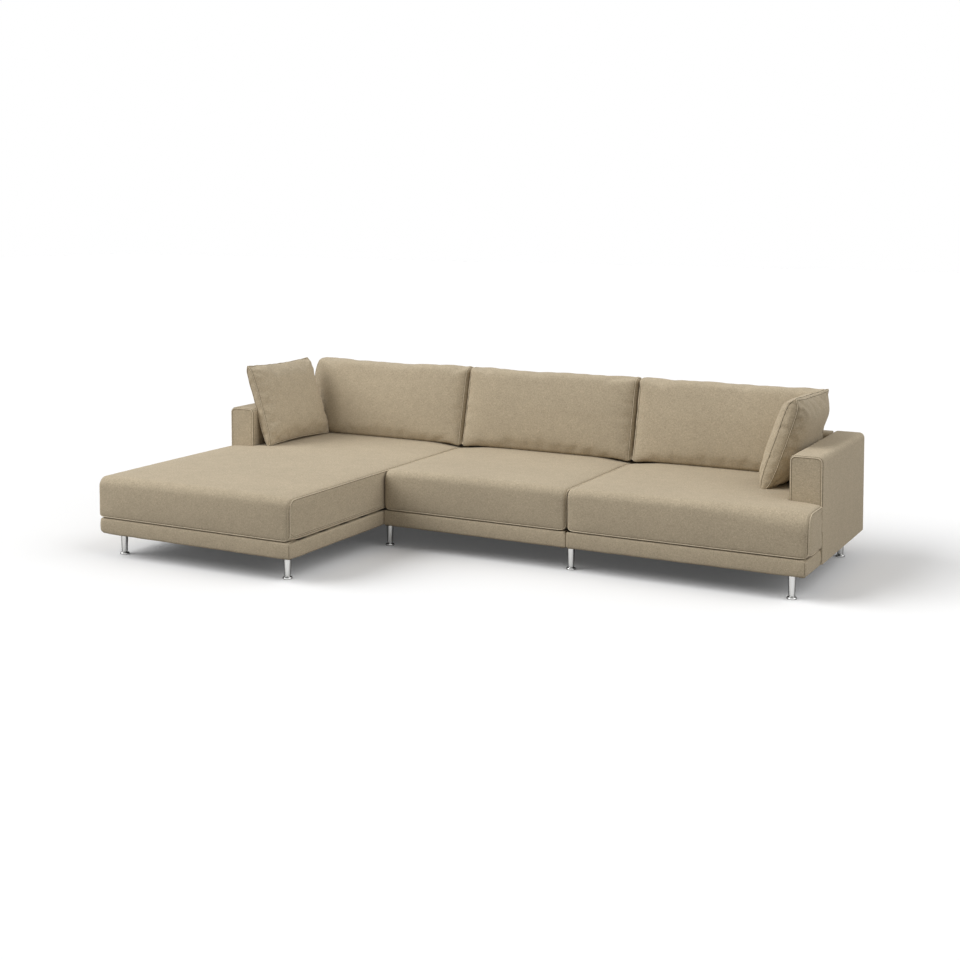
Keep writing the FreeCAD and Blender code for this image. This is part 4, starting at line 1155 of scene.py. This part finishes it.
def arm_piping(name, side):
    """Cord round the arm's front panel, and a fine seam down its outer skirt; the cord's lighter fabric is a
    painted highlight, and a thin dark line on each side of it is painted crease shade.
    """
    out_x, in_x = side * ARM_OUTER_X - side * PANEL_MARGIN, side * ARM_INNER_X + side * PANEL_MARGIN
    top, y = ARM_TOP_Z - PANEL_MARGIN, ARM_FRONT_Y + PANEL_LIFT
    turns = [math.pi / 2 * k / 6 for k in range(7)]
    path = [(in_x, y, z) for z in steps_between(DECK_Z, top - PANEL_CORNER, PANEL_SPACING)]
    path += [(in_x + side * PANEL_CORNER * (1 - math.cos(a)), y, top - PANEL_CORNER * (1 - math.sin(a)))
             for a in turns[1:]]
    path += [(out_x - side * PANEL_CORNER * (1 - math.sin(a)), y, top - PANEL_CORNER * (1 - math.cos(a)))
             for a in turns]
    path += [(out_x, y, z) for z in steps_between(top - PANEL_CORNER, SEAM_FOOT_Z, PANEL_SPACING)[1:]]
    path = resampled(path)
    tube(f"{name}_arm_panel_piping", [path], PIPING, False, "sofa_frame")
    # Painted crease shade: thin dark lines on both sides of the cord.
    across = unit(np.cross(np.tile([0.0, -1.0, 0.0], (len(path), 1)), directions(path, False)))
    shade_lines = [path + across * way * (PIPING + PANEL_CREASE_SHADE_GAP) + np.array([0, PANEL_CREASE_SHADE_SINK, 0])
               for way in (-1, 1)]
    tube(f"{name}_arm_panel_painted_shade", shade_lines, CREASE_SHADE_RADIUS, False, "sofa_frame", crease_shade_paint, CREASE_SHADE_SIDES)


arm_piping("left", -1)
arm_piping("right", 1)


# Legs

# A leg's outline from the floor up: height and radius in millimetres.
LEG_RINGS = [
    (0.0, 19.0), (0.0, 21.8), (1.0, 22.8), (6.4, 22.8), (8.4, 22.2), (9.8, 20.4), (10.4, 15.4), (11.6, 13.8),
    (13.0, 13.4), (14.4, 14.4), (16.0, 14.8), (17.0, 14.9), (40.0, 15.7), (80.0, 16.9), (110.0, 17.7),
    (116.0, 17.8), (117.0, 17.4),
]
LEG_SIDES = 40


def loose_parts(node):
    """Boxes of a node's separate solids, from the pieces of mesh that hang together."""
    mesh = nodes[node].data
    parent = list(range(len(mesh.vertices)))

    def root(i):
        while parent[i] != i:
            parent[i] = parent[parent[i]]
            i = parent[i]
        return i

    seen, groups = {}, {}
    for vertex in mesh.vertices:
        key = tuple(round(c, 5) for c in vertex.co)
        if key in seen:
            parent[root(vertex.index)] = root(seen[key])
        seen[key] = vertex.index
    for edge in mesh.edges:
        a, b = (root(i) for i in edge.vertices)
        parent[a] = b
    for vertex in mesh.vertices:
        groups.setdefault(root(vertex.index), []).append(vertex.co)
    boxes = [(np.min(members, axis=0), np.max(members, axis=0)) for members in groups.values()]
    return sorted(boxes, key=lambda box: tuple(np.round(box[0], 3)))


def turned_legs(node, with_glides):
    """Tapered tube legs on their foot discs, turned about the middles of the node's solids."""
    verts, faces = [], []
    for box_low, box_high in loose_parts(node):
        x, y = (box_low[0] + box_high[0]) / 2, (box_low[1] + box_high[1]) / 2
        base = len(verts)
        for z, radius in LEG_RINGS:
            for a in (2 * math.pi * k / LEG_SIDES for k in range(LEG_SIDES)):
                verts.append((x + radius * MM * math.cos(a), y + radius * MM * math.sin(a), z * MM))
        faces += bands(base, len(LEG_RINGS), LEG_SIDES) + end_faces(base, len(LEG_RINGS), LEG_SIDES)
    piece = new_piece(f"{node}_turned", verts, faces, chrome, "sofa_frame")
    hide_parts(node, *with_glides)


turned_legs("chaise_front_legs", ["leg_glides"])
turned_legs("front_legs", [])
turned_legs("rear_legs", [])


# Floor and light

FLOOR_REACH = 30.0
FLOOR_PALE = (0.88, 0.88, 0.88)
FLOOR_BOUNCE = (0.32, 0.31, 0.3)
FLOOR_GLOW = 0.06
SKY_STRENGTH = 0.36
WHITE = (1, 1, 1, 1)
SPOT_RADIUS = 0.5


def floor_surface():
    """Pale with a faint glow of its own where it is seen, darker where it only sends light back."""
    make = Nodes(bpy.data.materials.new("floor"))
    pale = make.node("BsdfDiffuse", Color=opaque(FLOOR_PALE))
    glow = make.node("Emission", Color=WHITE, Strength=FLOOR_GLOW)
    lifted = make.node("AddShader", None, {0: pale.outputs[0], 1: glow.outputs[0]})
    plain = make.node("BsdfDiffuse", Color=opaque(FLOOR_BOUNCE))
    return make.finish(make.mixed_shaders(make.seen_by("Camera", "Glossy"), plain, lifted))


def studio_world():
    """White where it is seen, in the chrome too, and dimmer where it lights the sofa."""
    make = Nodes(bpy.data.worlds.new("studio"))
    sky, white = (make.node("Background", Color=WHITE, Strength=strength)
                  for strength in (SKY_STRENGTH, 1.0))
    seen = make.seen_by("Camera", "Transmission", "Glossy")
    return make.finish(make.mixed_shaders(seen, sky, white), "OutputWorld")


floor_mesh = bpy.data.meshes.new("floor")
floor_corners = [(x * FLOOR_REACH, y * FLOOR_REACH, 0) for x, y in ((-1, -1), (1, -1), (1, 1), (-1, 1))]
floor_mesh.from_pydata(floor_corners, [], [(0, 1, 2, 3)])
floor_mesh.materials.append(floor_surface())
floor = bpy.data.objects.new("floor", floor_mesh)
scene.collection.objects.link(floor)
scene.world = studio_world()


def hang(name, data, place, source):
    """Lamp at a place, turned so that its light comes from the source's direction."""
    lamp = bpy.data.objects.new(name, data)
    lamp.location = place
    lamp.rotation_mode = "QUATERNION"
    lamp.rotation_quaternion = source.to_track_quat("Z", "Y")
    scene.collection.objects.link(lamp)


def sun(name, strength, azimuth, elevation, softness):
    """Soft far light; azimuth 0 comes from the front and 90 from the left."""
    data = bpy.data.lights.new(name, "SUN")
    data.energy, data.angle = strength, math.radians(softness)
    a, e = math.radians(azimuth), math.radians(elevation)
    hang(name, data, (0, 0, 0), Vector((-math.sin(a) * math.cos(e), -math.cos(a) * math.cos(e), math.sin(e))))


def soft_spot(name, power, place, target, angle):
    """Soft studio lamp with a cone that fades out to its rim."""
    data = bpy.data.lights.new(name, "SPOT")
    data.energy, data.spot_size, data.spot_blend = power, math.radians(angle), 1.0
    data.shadow_soft_size = SPOT_RADIUS
    hang(name, data, place, Vector(place) - Vector(target))


sun("key", 2.4, 60, 40, 45)
sun("side", 1.25, -100, 40, 60)
soft_spot("left_fill", 115, (-2.3, -4.6, 1.5), (-1.5, 0.4, 0.6), 26)
soft_spot("pillow_fill", 95, (2.6, -1.0, 0.9), (-1.35, 0.5, 0.62), 12)
